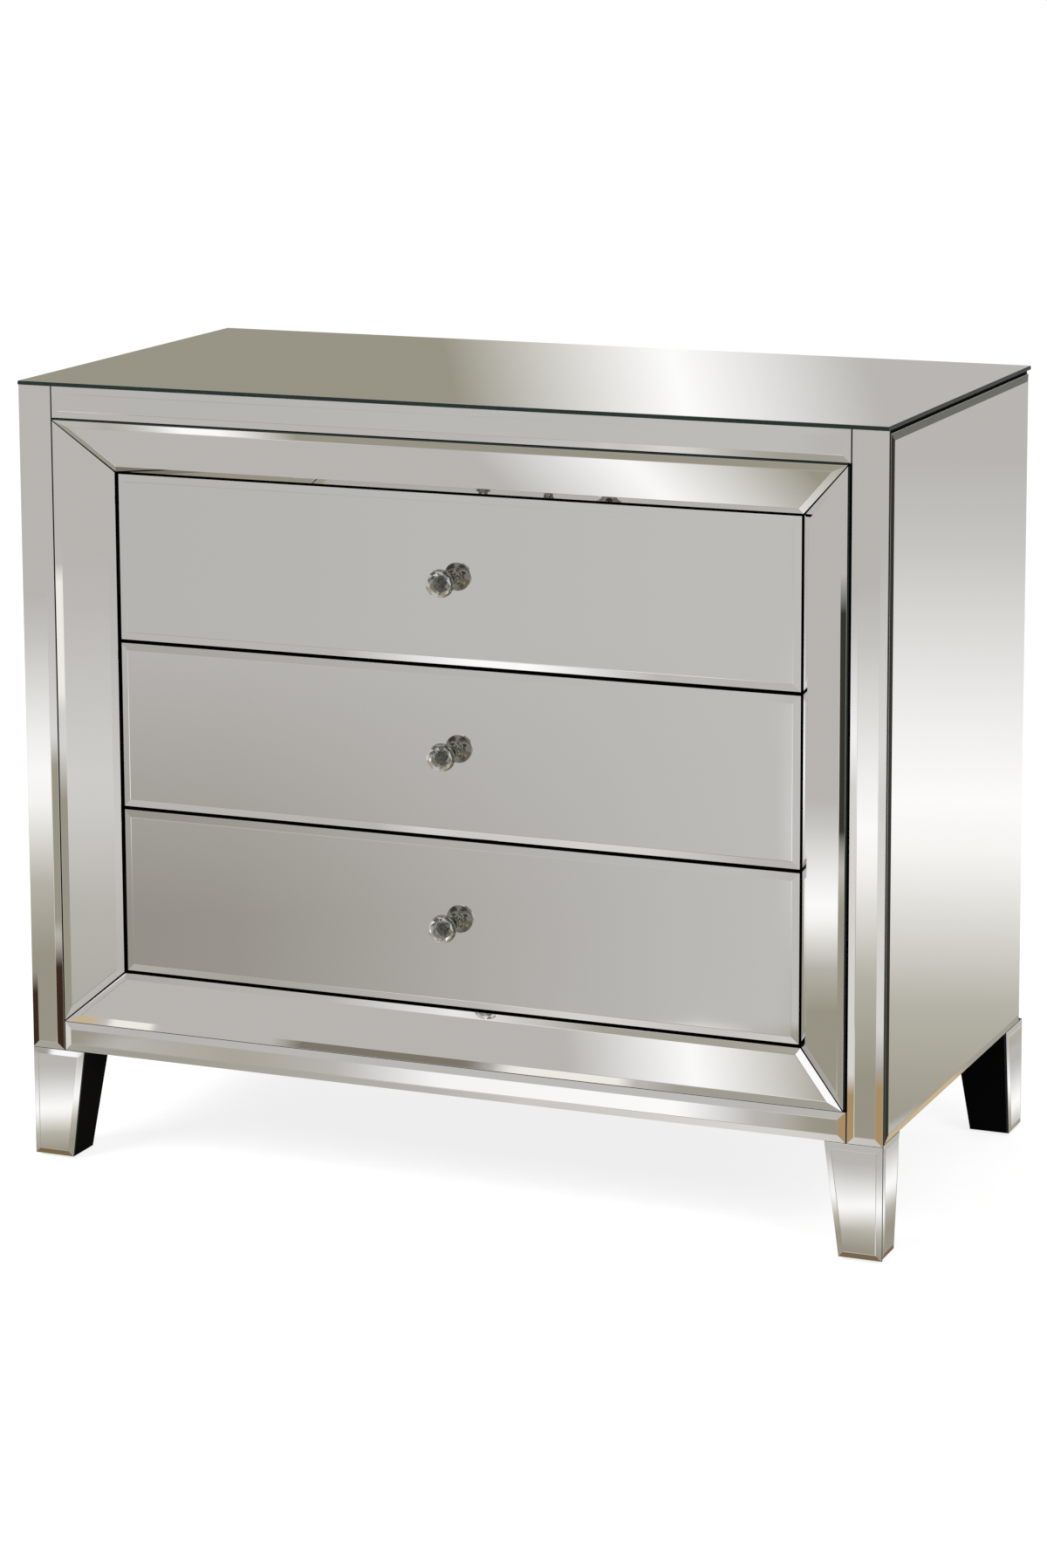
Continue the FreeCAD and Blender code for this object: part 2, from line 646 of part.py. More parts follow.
def save_case_mirrors():
    save("top_mirror", [top_mirror()])
    save("side_mirror_right", [side_mirror()])
    save("side_mirror_left", [mirror_x(side_mirror())])
    save("stile_mirror_right", [stile_mirror()])
    save("stile_mirror_left", [mirror_x(stile_mirror())])
    save("rail_mirror_top", [rail_mirror(FRAME_TOP, BOARD_TOP)])
    save("rail_mirror_bottom", [rail_mirror(CASE_BOTTOM, FRAME_BOTTOM)])
    for side, sloping_pane in zip(("bottom", "right", "top", "left"), sloping_panes()):
        save("sloping_mirror_" + side, [sloping_pane])


def save_feet():
    save("foot_front_right", [front_foot()])
    save("foot_front_left", [mirror_x(front_foot())])
    save("foot_rear_right", [rear_foot()])
    save("foot_rear_left", [mirror_x(rear_foot())])
    front_panes = front_foot_panes()
    save("foot_mirrors_front_right", front_panes)
    save("foot_mirrors_front_left", [mirror_x(glass) for glass in front_panes])
    save("foot_mirrors_rear", both_sides(rear_foot_pane()))
    save("foot_bolts", [foot_bolt(place) for place in foot_bolt_places()])
    save("foot_glides", glides())


def save_drawer(number):
    prefix = "drawer_%d_" % number
    save(prefix + "front", [drawer_front(number)])
    save(prefix + "mirror", [drawer_mirror(number)])
    save(prefix + "sides", drawer_sides(number))
    save(prefix + "back", [drawer_back(number)])
    save(prefix + "bottom", [drawer_base(number)])
    save(prefix + "slide_members", drawer_members(number))
    save(prefix + "knob_base", [knob_base(number)])
    save(prefix + "knob_crystal", [knob_crystal(number)])
    save(prefix + "knob_screw", [knob_screw(number)])
    save("slide_%d_middle_members" % number, middle_members(number))


os.makedirs("parts", exist_ok=True)
save_case()
save_case_mirrors()
save_feet()
for drawer_number in range(1, DRAWERS + 1):
    save_drawer(drawer_number)
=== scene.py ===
import math

import bpy
import numpy as np
from bpy.props import FloatProperty, FloatVectorProperty, PointerProperty
from mathutils import Matrix, Vector


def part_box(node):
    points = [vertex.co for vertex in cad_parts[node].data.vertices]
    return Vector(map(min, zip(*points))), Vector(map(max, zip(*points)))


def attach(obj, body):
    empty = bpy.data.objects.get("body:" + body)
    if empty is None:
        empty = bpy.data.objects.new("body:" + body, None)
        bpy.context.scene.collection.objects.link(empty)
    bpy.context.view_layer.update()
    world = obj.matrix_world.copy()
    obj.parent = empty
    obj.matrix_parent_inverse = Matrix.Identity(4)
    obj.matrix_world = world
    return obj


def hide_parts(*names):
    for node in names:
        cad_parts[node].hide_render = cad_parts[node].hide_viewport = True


bl_info = {
    "name": "Mirrored Chest of Drawers",
    "version": (1, 0, 0),
    "blender": (4, 5, 0),
    "location": "3D View > Sidebar > Chest",
    "description": "Mirror glass, boards, slides, knobs and studio for a chest of three drawers",
    "category": "Object",
}

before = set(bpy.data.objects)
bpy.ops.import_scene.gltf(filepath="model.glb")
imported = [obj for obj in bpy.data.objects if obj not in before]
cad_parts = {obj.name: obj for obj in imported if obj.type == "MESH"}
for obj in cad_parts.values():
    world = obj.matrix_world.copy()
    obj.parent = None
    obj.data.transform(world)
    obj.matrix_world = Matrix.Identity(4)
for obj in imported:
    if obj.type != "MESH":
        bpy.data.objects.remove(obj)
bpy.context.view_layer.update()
DRAWERS = (1, 2, 3)


# ---------------------------------------------------------------- colours

def linear(code):
    """Linear red, green, blue and alpha of an sRGB hex colour."""
    share = np.array([int(code[i:i + 2], 16) for i in (1, 3, 5)]) / 255
    curved = np.where(share <= 0.04045, share / 12.92, ((share + 0.055) / 1.055) ** 2.4)
    return (*curved.tolist(), 1.0)


def colour(name, description, code):
    """A colour property whose default is an sRGB hex colour."""
    return FloatVectorProperty(name=name, description=description, subtype="COLOR", size=4,
                               min=0.0, max=1.0, default=linear(code))


def scaled(tone, share):
    """A linear colour times a share."""
    return [share * value for value in tone[:3]] + [1.0]


PURE_WHITE = linear("#FFFFFF")


def amount(name, description, value, **kind):
    return FloatProperty(name=name, description=description, default=value, **kind)


def length(name, description, metres):
    return amount(name, description, metres, min=0.0, unit="LENGTH", precision=5)


def angle(name, description, degrees):
    return amount(name, description, math.radians(degrees), unit="ROTATION")


# ---------------------------------------------------------------- settings

class GlassSettings(bpy.types.PropertyGroup):
    thickness: length("Thickness", "Thickness of every pane", 0.004)
    bevel_width: length("Bevel width", "Width of the ground bevel", 0.0075)
    bevel_depth: length("Bevel depth", "Fall of the ground bevel", 0.0014)
    foot_bevel: length("Foot bevel", "Width of the bevel on the panes of the feet", 0.006)
    top_arris: length("Top arris", "Width and fall of the arris on the top pane", 0.0008)
    easing: length("Easing", "Rounding of every ground corner", 0.0003)
    joint: length("Joint", "Gap between neighbouring panes", 0.0005)
    seam: length("Seam", "Trim of each pane where a stile meets the sloping frame", 0.0008)
    foot_tip: length("Foot tip", "Width of a foot at the floor, over its pane", 0.0435)
    silver: colour("Silvering", "Reflectance of silvered float glass", "#FBFAFA")
    edge: colour("Glass edge", "Float glass seen through its ground edge", "#1E2724")
    backing: colour("Backing paint", "Paint behind the silvering", "#6B6C6A")


class BoardSettings(bpy.types.PropertyGroup):
    black: colour("Black lacquer", "Satin lacquer on the boards and feet", "#050505")
    hardboard: colour("Hardboard", "Painted hardboard of the back panel", "#1B1917")
    pine_light: colour("Pine, early wood", "Light rings of the hidden rails and posts", "#D9BC8C")
    pine_dark: colour("Pine, late wood", "Dark rings of the hidden rails and posts", "#A87C4A")
    birch_light: colour("Birch, light", "Light figure of the drawer boxes", "#E2CDA6")
    birch_dark: colour("Birch, dark", "Dark figure of the drawer boxes", "#C4A273")
    # Painted shade: the rails turn black this far behind their front ends, so that the gaps between the
    # drawers read dark.
    gap_shade_length: length("Gap shade length", "Black front end of the rails behind the gaps", 0.06)


class MetalSettings(bpy.types.PropertyGroup):
    zinc: colour("Zinc plate", "Slides, bolts and screws", "#B9BDC1")
    chrome: colour("Chrome plate", "Bases of the knobs", "#A3A49F")
    crystal: colour("Crystal", "Tint of the cut crystal", "#B9BDBE")
    nylon: colour("Nylon", "Glides under the feet", "#23201D")


class KnobSettings(bpy.types.PropertyGroup):
    foot_radius: length("Foot radius", "Radius of the small foot on the mirror", 0.007)
    foot_thickness: length("Foot thickness", "Thickness of the small foot", 0.0015)
    neck_radius: length("Neck radius", "Radius of the neck", 0.0046)
    neck_end: length("Neck end", "Reach at which the trumpet starts", 0.0065)
    flare_radius: length("Flare radius", "The trumpet passes through this radius", 0.0072)
    flare_reach: length("Flare reach", "Reach at the flare radius", 0.0147)
    rim_thickness: length("Rim thickness", "Thickness of the rim", 0.001)
    bore_radius: length("Bore radius", "Radius of the tapped bore", 0.00205)
    bore_depth: length("Bore depth", "Depth of the tapped bore", 0.009)
    easing: length("Easing", "Rounding of the turned corners", 0.0003)
    recess_radius: length("Recess radius", "Radius of the recess under the crystal", 0.007)
    recess_depth: length("Recess depth", "Depth of the recess under the crystal", 0.0003)
    crystal_radius: length("Crystal radius", "Radius of the crystal at its girdle", 0.0132)


class StageSettings(bpy.types.PropertyGroup):
    camera: FloatVectorProperty(name="Camera", description="Place of the camera", unit="LENGTH",
                                subtype="TRANSLATION", default=(1.664, -4.001, 1.375))
    yaw: angle("Yaw", "Camera turned to the left", 22.67)
    pitch: angle("Pitch", "Camera tilted up", -9.42)
    roll: angle("Roll", "Camera rolled clockwise", -0.25)
    lens: amount("Lens", "Focal length on a 36 mm sensor, in millimetres", 99.2)
    shift: amount("Shift", "Upward shift as a share of the picture height", -0.169)
    floor_size: length("Floor", "Side of the floor", 80.0)
    floor: colour("Floor", "Pale floor", "#F4F4F2")
    shadow: amount("Shadow", "Share of the floor's shading that is seen", 0.3)
    glow: amount("Glow", "Strength of the floor's glow to the camera", 0.83)
    ambient: amount("Ambient", "Strength of the plain soft light", 0.62)
    key: amount("Key", "Power of the large soft lamp, in watts", 150.0)
    fill: amount("Fill", "Power of the soft fill lamp, in watts", 60.0)


SETTINGS = {
    "chest_glass": GlassSettings,
    "chest_boards": BoardSettings,
    "chest_metals": MetalSettings,
    "chest_knobs": KnobSettings,
    "chest_stage": StageSettings,
}


# ---------------------------------------------------------------- nodes of a material

def add(tree, kind, inputs=(), stops=(), **settings):
    """Adds a shader node, sets its properties and ramp stops, and sets or links its inputs.

    Inputs are a list in order or a dictionary; a node given as a value stands for its first output."""
    node = tree.nodes.new("ShaderNode" + kind)
    for name, value in settings.items():
        setattr(node, name, value)
    for place, _ in stops[2:]:
        node.color_ramp.elements.new(place)
    for element, (place, tone) in zip(node.color_ramp.elements if stops else (), stops):
        element.position = place
        element.color = tone
    for key, value in inputs.items() if isinstance(inputs, dict) else enumerate(inputs):
        if isinstance(value, bpy.types.Node):
            value = value.outputs[0]
        if isinstance(value, bpy.types.NodeSocket):
            tree.links.new(value, node.inputs[key])
        else:
            node.inputs[key].default_value = value
    return node


def new_material(name):
    """A new material, its cleared node tree, and the place on the object that patterns read."""
    made = bpy.data.materials.new(name)
    made.use_nodes = True
    tree = made.node_tree
    tree.nodes.clear()
    return made, tree, add(tree, "TexCoord").outputs["Object"]


def silvered_glass():
    """Silvered float glass: a sharp mirror, with float ripple and a wiped bloom that barely show."""
    glass = bpy.context.scene.chest_glass
    made, tree, place = new_material("silvered_float_glass")
    # Wiping leaves a bloom in patches about 90 mm across.
    bloom = add(tree, "TexNoise", {"Vector": place, "Scale": 11.0, "Detail": 2.0})
    rough = add(tree, "MapRange", [bloom, 0.35, 0.75, 0.0, 0.035])
    # Float ripple runs about 40 mm from crest to crest and a few thousandths of a millimetre high.
    ripple = add(tree, "TexNoise", {"Vector": place, "Scale": 25.0, "Detail": 0.0})
    bump = add(tree, "Bump", {"Strength": 0.02, "Distance": 0.0003, "Height": ripple})
    shader = add(tree, "BsdfPrincipled", {
        "Base Color": glass.silver, "Metallic": 1.0, "Roughness": rough, "Normal": bump})
    add(tree, "OutputMaterial", [shader])
    return made


def ground_glass_edge():
    """Ground and polished edge of float glass: deep green, half dull, with faint grinding marks."""
    glass = bpy.context.scene.chest_glass
    made, tree, place = new_material("polished_glass_edge")
    # Grinding marks are finer than a millimetre, so they are drawn at 4 mm to show at all.
    marks = add(tree, "TexNoise", {"Vector": place, "Scale": 250.0, "Detail": 1.0})
    tone = add(tree, "ValToRGB", [marks], [
        (0.35, scaled(glass.edge, 0.9)), (0.65, scaled(glass.edge, 1.1))])
    # A low specular level keeps the seams between bright panes dark.
    shader = add(tree, "BsdfPrincipled", {
        "Base Color": tone, "Roughness": 0.3, "IOR": 1.52, "Specular IOR Level": 0.1})
    add(tree, "OutputMaterial", [shader])
    return made


def backing_paint():
    """Grey backing paint on silvering: flat, with a light orange peel from the roller."""
    glass = bpy.context.scene.chest_glass
    made, tree, place = new_material("mirror_backing_paint")
    # The peel's dimples are 2.5 mm across.
    peel = add(tree, "TexNoise", {"Vector": place, "Scale": 400.0, "Detail": 3.0})
    tone = add(tree, "ValToRGB", [peel], [(0.3, scaled(glass.backing, 0.85)), (0.7, glass.backing)])
    bump = add(tree, "Bump", {"Strength": 0.3, "Distance": 0.0001, "Height": peel})
    shader = add(tree, "BsdfPrincipled", {"Base Color": tone, "Roughness": 0.6, "Normal": bump})
    add(tree, "OutputMaterial", [shader])
    return made


def satin_lacquer():
    """Sprayed satin black lacquer on fibreboard: faint sheen, fine orange peel, a few dull patches."""
    boards = bpy.context.scene.chest_boards
    made, tree, place = new_material("satin_black_lacquer")
    # Orange peel of a sprayed coat is 1.5 mm across, and the duller patches are 70 mm.
    peel = add(tree, "TexNoise", {"Vector": place, "Scale": 650.0, "Detail": 2.0})
    patch = add(tree, "TexNoise", {"Vector": place, "Scale": 14.0, "Detail": 4.0})
    rough = add(tree, "MapRange", [patch, 0.3, 0.7, 0.55, 0.7])
    tone = add(tree, "ValToRGB", [patch], [(0.3, boards.black), (0.7, scaled(boards.black, 1.6))])
    bump = add(tree, "Bump", {"Strength": 0.12, "Distance": 0.0002, "Height": peel})
    # A low specular level keeps the boards black in the gaps between bright panes.
    shader = add(tree, "BsdfPrincipled", {
        "Base Color": tone, "Roughness": rough, "IOR": 1.5, "Specular IOR Level": 0.02,
        "Normal": bump})
    add(tree, "OutputMaterial", [shader])
    return made


def painted_hardboard():
    """Hardboard painted thinly in black: matt, with the mat of fibres showing through."""
    boards = bpy.context.scene.chest_boards
    made, tree, place = new_material("painted_hardboard")
    # Fibre bundles 3 mm long and a third as wide.
    stretch = add(tree, "Mapping", {"Vector": place, "Scale": (1.0, 1.0, 3.0)})
    fibres = add(tree, "TexNoise", {"Vector": stretch, "Scale": 330.0, "Detail": 5.0})
    # The roller left thick and thin passes, upright streaks about 80 mm wide.
    streaks = add(tree, "Mapping", {"Vector": place, "Scale": (12.0, 12.0, 1.5)})
    passes = add(tree, "TexNoise", {"Vector": streaks, "Scale": 1.0, "Detail": 2.0})
    mottle = add(tree, "Math", [passes, 0.7, fibres], operation="MULTIPLY_ADD")
    tone = add(tree, "ValToRGB", [mottle], [
        (0.65, boards.hardboard), (1.0, scaled(boards.hardboard, 2.4))])
    bump = add(tree, "Bump", {"Strength": 0.35, "Distance": 0.0003, "Height": fibres})
    shader = add(tree, "BsdfPrincipled", {"Base Color": tone, "Roughness": 0.62, "Normal": bump})
    add(tree, "OutputMaterial", [shader])
    return made


def planed_wood(name, light, dark, along, ring, shine, painted=None):
    """Planed wood with straight grain: growth rings across, fibres along, and a thin clear lacquer.

    In front of the painted place it turns the black of the boards: painted shade, so that the wood reads
    dark through the gaps between the drawers."""
    made, tree, place = new_material(name)
    # Rings a ring width apart drift 25 times as slowly along the board. Fibres are drawn 1.1 mm wide,
    # so that they show, and 40 times as long.
    drift, slender, fibres_per_metre = 1.0 / 25.0, 1.0 / 40.0, 900.0
    ring_scale = [(drift if axis == along else 1.0) / ring for axis in "XYZ"]
    fibre_scale = [(slender if axis == along else 1.0) * fibres_per_metre for axis in "XYZ"]
    rings_at = add(tree, "Mapping", {"Vector": place, "Scale": ring_scale})
    fibres_at = add(tree, "Mapping", {"Vector": place, "Scale": fibre_scale})
    rings = add(tree, "TexNoise", {
        "Vector": rings_at, "Scale": 0.35, "Detail": 3.0, "Distortion": 0.6})
    fibres = add(tree, "TexNoise", {"Vector": fibres_at, "Scale": 1.0, "Detail": 3.0})
    figure = add(tree, "Math", [rings, 9.0], operation="MULTIPLY")
    wave = add(tree, "Math", [figure, 1.0], operation="PINGPONG")
    fine = add(tree, "Math", [fibres, 0.45, wave], operation="MULTIPLY_ADD")
    tone = add(tree, "ValToRGB", [fine], [(0.15, dark), (0.95, light)])
    # Painted shade: in front of the painted place the wood takes the boards' black, so that it reads
    # dark through the gaps.
    if painted is not None:
        depth = add(tree, "SeparateXYZ", [place]).outputs[1]
        gap_shade_mask = add(tree, "Math", [depth, painted], operation="LESS_THAN")
        tone = add(tree, "MixRGB", [gap_shade_mask, tone, bpy.context.scene.chest_boards.black])
    bump = add(tree, "Bump", {"Strength": 0.25, "Distance": 0.0001, "Height": fibres})
    shader = add(tree, "BsdfPrincipled", {"Base Color": tone, "Roughness": shine, "Normal": bump})
    add(tree, "OutputMaterial", [shader])
    return made


def zinc_plate():
    """Bright zinc on rolled steel: bluish, half dull, with rolling lines along the strip."""
    metals = bpy.context.scene.chest_metals
    made, tree, place = new_material("zinc_plated_steel")
    # Rolling lines are drawn 0.8 mm apart and 60 mm long, and the spangle's grains are 6 mm across.
    stretch = add(tree, "Mapping", {"Vector": place, "Scale": (1250.0, 16.0, 1250.0)})
    lines = add(tree, "TexNoise", {"Vector": stretch, "Scale": 1.0, "Detail": 2.0})
    spangle = add(tree, "TexVoronoi", {"Vector": place, "Scale": 160.0})
    rough = add(tree, "MapRange", [lines, 0.3, 0.7, 0.26, 0.42])
    tone = add(tree, "ValToRGB", [spangle], [(0.1, metals.zinc), (0.8, scaled(metals.zinc, 0.84))])
    bump = add(tree, "Bump", {"Strength": 0.15, "Distance": 0.00005, "Height": lines})
    shader = add(tree, "BsdfPrincipled", {
        "Base Color": tone, "Metallic": 1.0, "Roughness": rough, "Normal": bump})
    add(tree, "OutputMaterial", [shader])
    return made


def chrome_plate():
    """Chromium plate on turned brass: a cold mirror, greyer than new plate, under the faintest haze."""
    metals = bpy.context.scene.chest_metals
    made, tree, place = new_material("chrome_plate")
    # Handling leaves a haze in spots 3 mm across.
    haze = add(tree, "TexNoise", {"Vector": place, "Scale": 300.0, "Detail": 2.0})
    rough = add(tree, "MapRange", [haze, 0.3, 0.7, 0.02, 0.06])
    shader = add(tree, "BsdfPrincipled", {
        "Base Color": metals.chrome, "Metallic": 1.0, "Roughness": rough})
    add(tree, "OutputMaterial", [shader])
    return made


def cut_crystal():
    """Cut and polished crystal glass: smoky, so that about half the light passes, with a wiped bloom."""
    metals = bpy.context.scene.chest_metals
    made, tree, place = new_material("cut_crystal_glass")
    # The bloom lies in spots 4 mm across.
    wiped = add(tree, "TexNoise", {"Vector": place, "Scale": 250.0, "Detail": 1.0})
    rough = add(tree, "MapRange", [wiped, 0.5, 0.8, 0.0, 0.02])
    shader = add(tree, "BsdfPrincipled", {
        "Base Color": metals.crystal, "Transmission Weight": 1.0, "IOR": 1.54, "Roughness": rough})
    add(tree, "OutputMaterial", [shader])
    return made


def moulded_nylon():
    """Moulded nylon: dark, waxy, with fine scuffs from the floor."""
    metals = bpy.context.scene.chest_metals
    made, tree, place = new_material("moulded_nylon")
    # Scuffs are about 1 mm across.
    scuffs = add(tree, "TexNoise", {"Vector": place, "Scale": 900.0, "Detail": 4.0})
    tone = add(tree, "ValToRGB", [scuffs], [(0.45, metals.nylon), (0.8, scaled(metals.nylon, 2.5))])
    bump = add(tree, "Bump", {"Strength": 0.3, "Distance": 0.0001, "Height": scuffs})
    shader = add(tree, "BsdfPrincipled", {
        "Base Color": tone, "Roughness": 0.48, "IOR": 1.53, "Normal": bump})
    add(tree, "OutputMaterial", [shader])
    return made


def finish(names, made):
    """Gives CAD nodes a material in place of the plain one they came with."""
    for name in names:
        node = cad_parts[name]
        for place in node.material_slots:
            place.material = made


# ---------------------------------------------------------------- surfaces

def piece_from(name, points, faces, materials, slots=None, crease=None):
    """Object at the origin; its faces are flat, or smooth where they meet under the crease angle."""
    mesh = bpy.data.meshes.new(name)
    mesh.from_pydata(points.tolist(), [], faces)
    for made in materials:
        mesh.materials.append(made)
    if slots is not None:
        mesh.polygons.foreach_set("material_index", slots)
    if crease is not None:
        mesh.polygons.foreach_set("use_smooth", [True] * len(faces))
        mesh.set_sharp_from_angle(angle=crease)
    mesh.update()
    piece = bpy.data.objects.new(name, mesh)
    bpy.context.scene.collection.objects.link(piece)
    return piece


def ring_faces(rows, columns):
    """Quads of a grid closed round its columns, and a cap on its first and last row."""
    row, column = np.meshgrid(np.arange(rows - 1), np.arange(columns), indexing="ij")
    here = row * columns + column
    beside = row * columns + (column + 1) % columns
    quads = np.stack([here, here + columns, beside + columns, beside], -1).reshape(-1, 4)
    first = np.arange(columns)
    last = first[::-1] + (rows - 1) * columns
    return quads.tolist() + [first.tolist(), last.tolist()]


def eased(points, radius):
    """Section with each inner corner P rounded between A and B, a radius away on either side.

    The curve is (1 - t)^2 A + 2 t (1 - t) P + t^2 B at t = 0, 1/2 and 1. Both ends are left out."""
    points = np.array(points, float)
    corner = points[1:-1]
    back = points[:-2] - corner
    on = points[2:] - corner
    start = corner + radius * back / np.linalg.norm(back, axis=1, keepdims=True)
    end = corner + radius * on / np.linalg.norm(on, axis=1, keepdims=True)
    middle = (start + 2 * corner + end) / 4
    return np.stack([start, middle, end], 1).reshape(-1, 2)


STEEP = 0.9     # fall over run of a section past which it is edge and not bevel


def pane_surface(corners, bevel_width, bevel_depth):
    """Points, faces and material slots of a pane, whose corners run anticlockwise from outside.

    Its section of inset s and depth d is carried round the outline: a point is
    corner + s * mitre - d * outward, where the mitre moves both edges of a corner in by one."""
    glass = bpy.context.scene.chest_glass
    corners = np.array(corners, float)
    after = np.roll(corners, -1, 0) - corners
    after /= np.linalg.norm(after, axis=1, keepdims=True)
    before = np.roll(after, 1, 0)
    outward = np.cross(after[0], after[1])
    outward /= np.linalg.norm(outward)
    inwards = np.cross(outward, before), np.cross(outward, after)
    mitre = (inwards[0] + inwards[1]) / (1 + (inwards[0] * inwards[1]).sum(1, keepdims=True))
    section = eased([(2 * bevel_width, 0), (bevel_width, 0), (0, bevel_depth),
                     (0, glass.thickness), (bevel_width, glass.thickness)], glass.easing)
    inset, depth = section.T
    points = corners[None] + inset[:, None, None] * mitre[None] - depth[:, None, None] * outward
    # Rows that fall steeply are ground edge (1), those that run outwards silvered (0), the rest back.
    run, fall = np.diff(inset), np.diff(depth)
    row_slots = np.where(fall > STEEP * np.abs(run), 1, np.where(run < 0, 0, 2))
    slots = np.append(np.repeat(row_slots, len(corners)), [0, 2])
    return points.reshape(-1, 3), ring_faces(len(section), len(corners)), slots


def joined(surfaces):
    """One set of points, faces and slots from several."""
    points, faces, slots = [], [], []
    for some_points, some_faces, some_slots in surfaces:
        start = sum(len(p) for p in points)
        points.append(some_points)
        faces += [[start + corner for corner in face] for face in some_faces]
        slots.append(some_slots)
    return np.concatenate(points), faces, np.concatenate(slots)


def arc_through(start, middle, end, count):
    """Points along the circle through three points of a section."""
    a, b, c = (np.array(point, float) for point in (start, middle, end))
    sides = np.array([b - a, c - a])
    centre = a + np.linalg.solve(sides, (sides ** 2).sum(1) / 2)
    angles = np.unwrap([math.atan2(*(point - centre)[::-1]) for point in (a, b, c)])
    turn = np.linspace(angles[0], angles[2], count)
    return centre + np.linalg.norm(a - centre) * np.stack([np.cos(turn), np.sin(turn)], 1)


def turned_surface(section, centre, axis, count):
    """Surface of revolution: a section of radius r and reach h, turned about an axis by angle a.

    A point is centre + r cos(a) U + r sin(a) V + h axis, where U and V are square to the axis."""
    radius, reach = np.array(section, float).T
    axis = np.array(axis, float)
    u = np.cross(axis, [1.0, 0.0, 0.0])
    v = np.cross(axis, u)
    turn = np.linspace(0, 2 * math.pi, count, endpoint=False)
    spoke = np.cos(turn)[:, None] * u + np.sin(turn)[:, None] * v
    points = (np.array(centre) + radius[:, None, None] * spoke[None]
              + reach[:, None, None] * axis)
    return points.reshape(-1, 3), ring_faces(len(radius), count)


# ---------------------------------------------------------------- mirror panes

def low_high(node):
    """Corners of a node's box as arrays."""
    low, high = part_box(node)
    return np.array(low), np.array(high)


def front_corners(x0, x1, z0, z1, y):
    return [(x0, y, z0), (x1, y, z0), (x1, y, z1), (x0, y, z1)]


def pane_corners(node, side):
    """Corners of a pane's outer face, anticlockwise from outside."""
    (x0, y0, z0), (x1, y1, z1) = low_high(node)
    if side == "front":
        return front_corners(x0, x1, z0, z1, y0)
    if side == "right":
        return [(x1, y0, z0), (x1, y1, z0), (x1, y1, z1), (x1, y0, z1)]
    return [(x0, y0, z1), (x1, y0, z1), (x1, y1, z1), (x0, y1, z1)]


def stile_corners():
    """Pane of the right stile, trimmed along the frame so that the seam there shows dark."""
    low, high = low_high("stile_mirror_right")
    inner = low[0] + bpy.context.scene.chest_glass.seam
    return front_corners(inner, high[0], low[2], high[2], low[1])


def sloping_corners():
    """Corners of the four mitred panes' faces, order bottom, right, top, left.

    A pane's back meets the border's face at its outer edge, so its face stands proud there by
    thickness times cos(slope), and its bevel cuts its inner edge back by depth times sin(slope)."""
    glass = bpy.context.scene.chest_glass
    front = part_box("rail_mirror_top")[0].y
    low, high = low_high("sloping_mirror_right")
    top_low, top_high = low_high("sloping_mirror_top")
    bottom_high = low_high("sloping_mirror_bottom")[1]
    cosine = (front - low[1]) / (glass.thickness - glass.bevel_depth)
    cut = glass.bevel_depth * math.sqrt(1 - cosine ** 2)
    inner_y = high[1] - glass.thickness * cosine
    bottom_cosine = (bottom_high[1] - inner_y) / glass.thickness
    bottom_cut = glass.bevel_depth * math.sqrt(1 - bottom_cosine ** 2)
    half_joint = glass.joint / 2
    outer_x = top_high[0] + half_joint
    outer = np.array(front_corners(-outer_x, outer_x, low[2] - half_joint, high[2] + half_joint,
                                   front - glass.thickness * cosine))
    inner_x = low[0] - cut
    inner = np.array(front_corners(-inner_x, inner_x, bottom_high[2] + bottom_cut, top_low[2] - cut,
                                   inner_y))
    panes = []
    for i in range(4):
        j = (i + 1) % 4
        along = outer[j] - outer[i]
        along *= half_joint / np.linalg.norm(along)
        # The upright panes are trimmed along their slope where they meet the stiles.
        slope = (inner[i] - outer[i]) * (1, 1, 0)
        trim = slope * glass.seam / abs(slope[0]) * (i % 2)
        panes.append([outer[i] + along + trim, outer[j] - along + trim,
                      inner[j] - along, inner[i] + along])
    return panes


def mirrored(corners):
    """The outline on the other side of the chest, still anticlockwise from outside."""
    return [(-x, y, z) for x, y, z in reversed(corners)]


def foot_outlines():
    """Outlines of the tapered panes: node to list of outlines."""
    glass = bpy.context.scene.chest_glass
    low, high = low_high("foot_mirrors_front_right")
    half, front, tip, top = high[0], low[1], low[2], high[2]
    start = front + glass.thickness + glass.joint
    face = [(half - glass.foot_tip, front, tip), (half, front, tip), (half, front, top),
            (low[0], front, top)]
    side = [(half, start, tip), (half, front + glass.foot_tip, tip), (half, high[1], top),
            (half, start, top)]
    rear_low, rear_high = low_high("foot_mirrors_rear")
    back = rear_high[1]
    rear = [(half, back - glass.foot_tip, tip), (half, back, tip), (half, back, top),
            (half, rear_low[1], top)]
    return {"foot_mirrors_front_right": [face, side],
            "foot_mirrors_front_left": [mirrored(face), mirrored(side)],
            "foot_mirrors_rear": [rear, mirrored(rear)]}


def make_pane(node, outlines, body, materials, bevel_width, bevel_depth):
    points, faces, slots = joined([pane_surface(outline, bevel_width, bevel_depth)
                                   for outline in outlines])
    piece = piece_from(node + "_glass", points, faces, materials, slots)
    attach(piece, body)
    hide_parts(node)


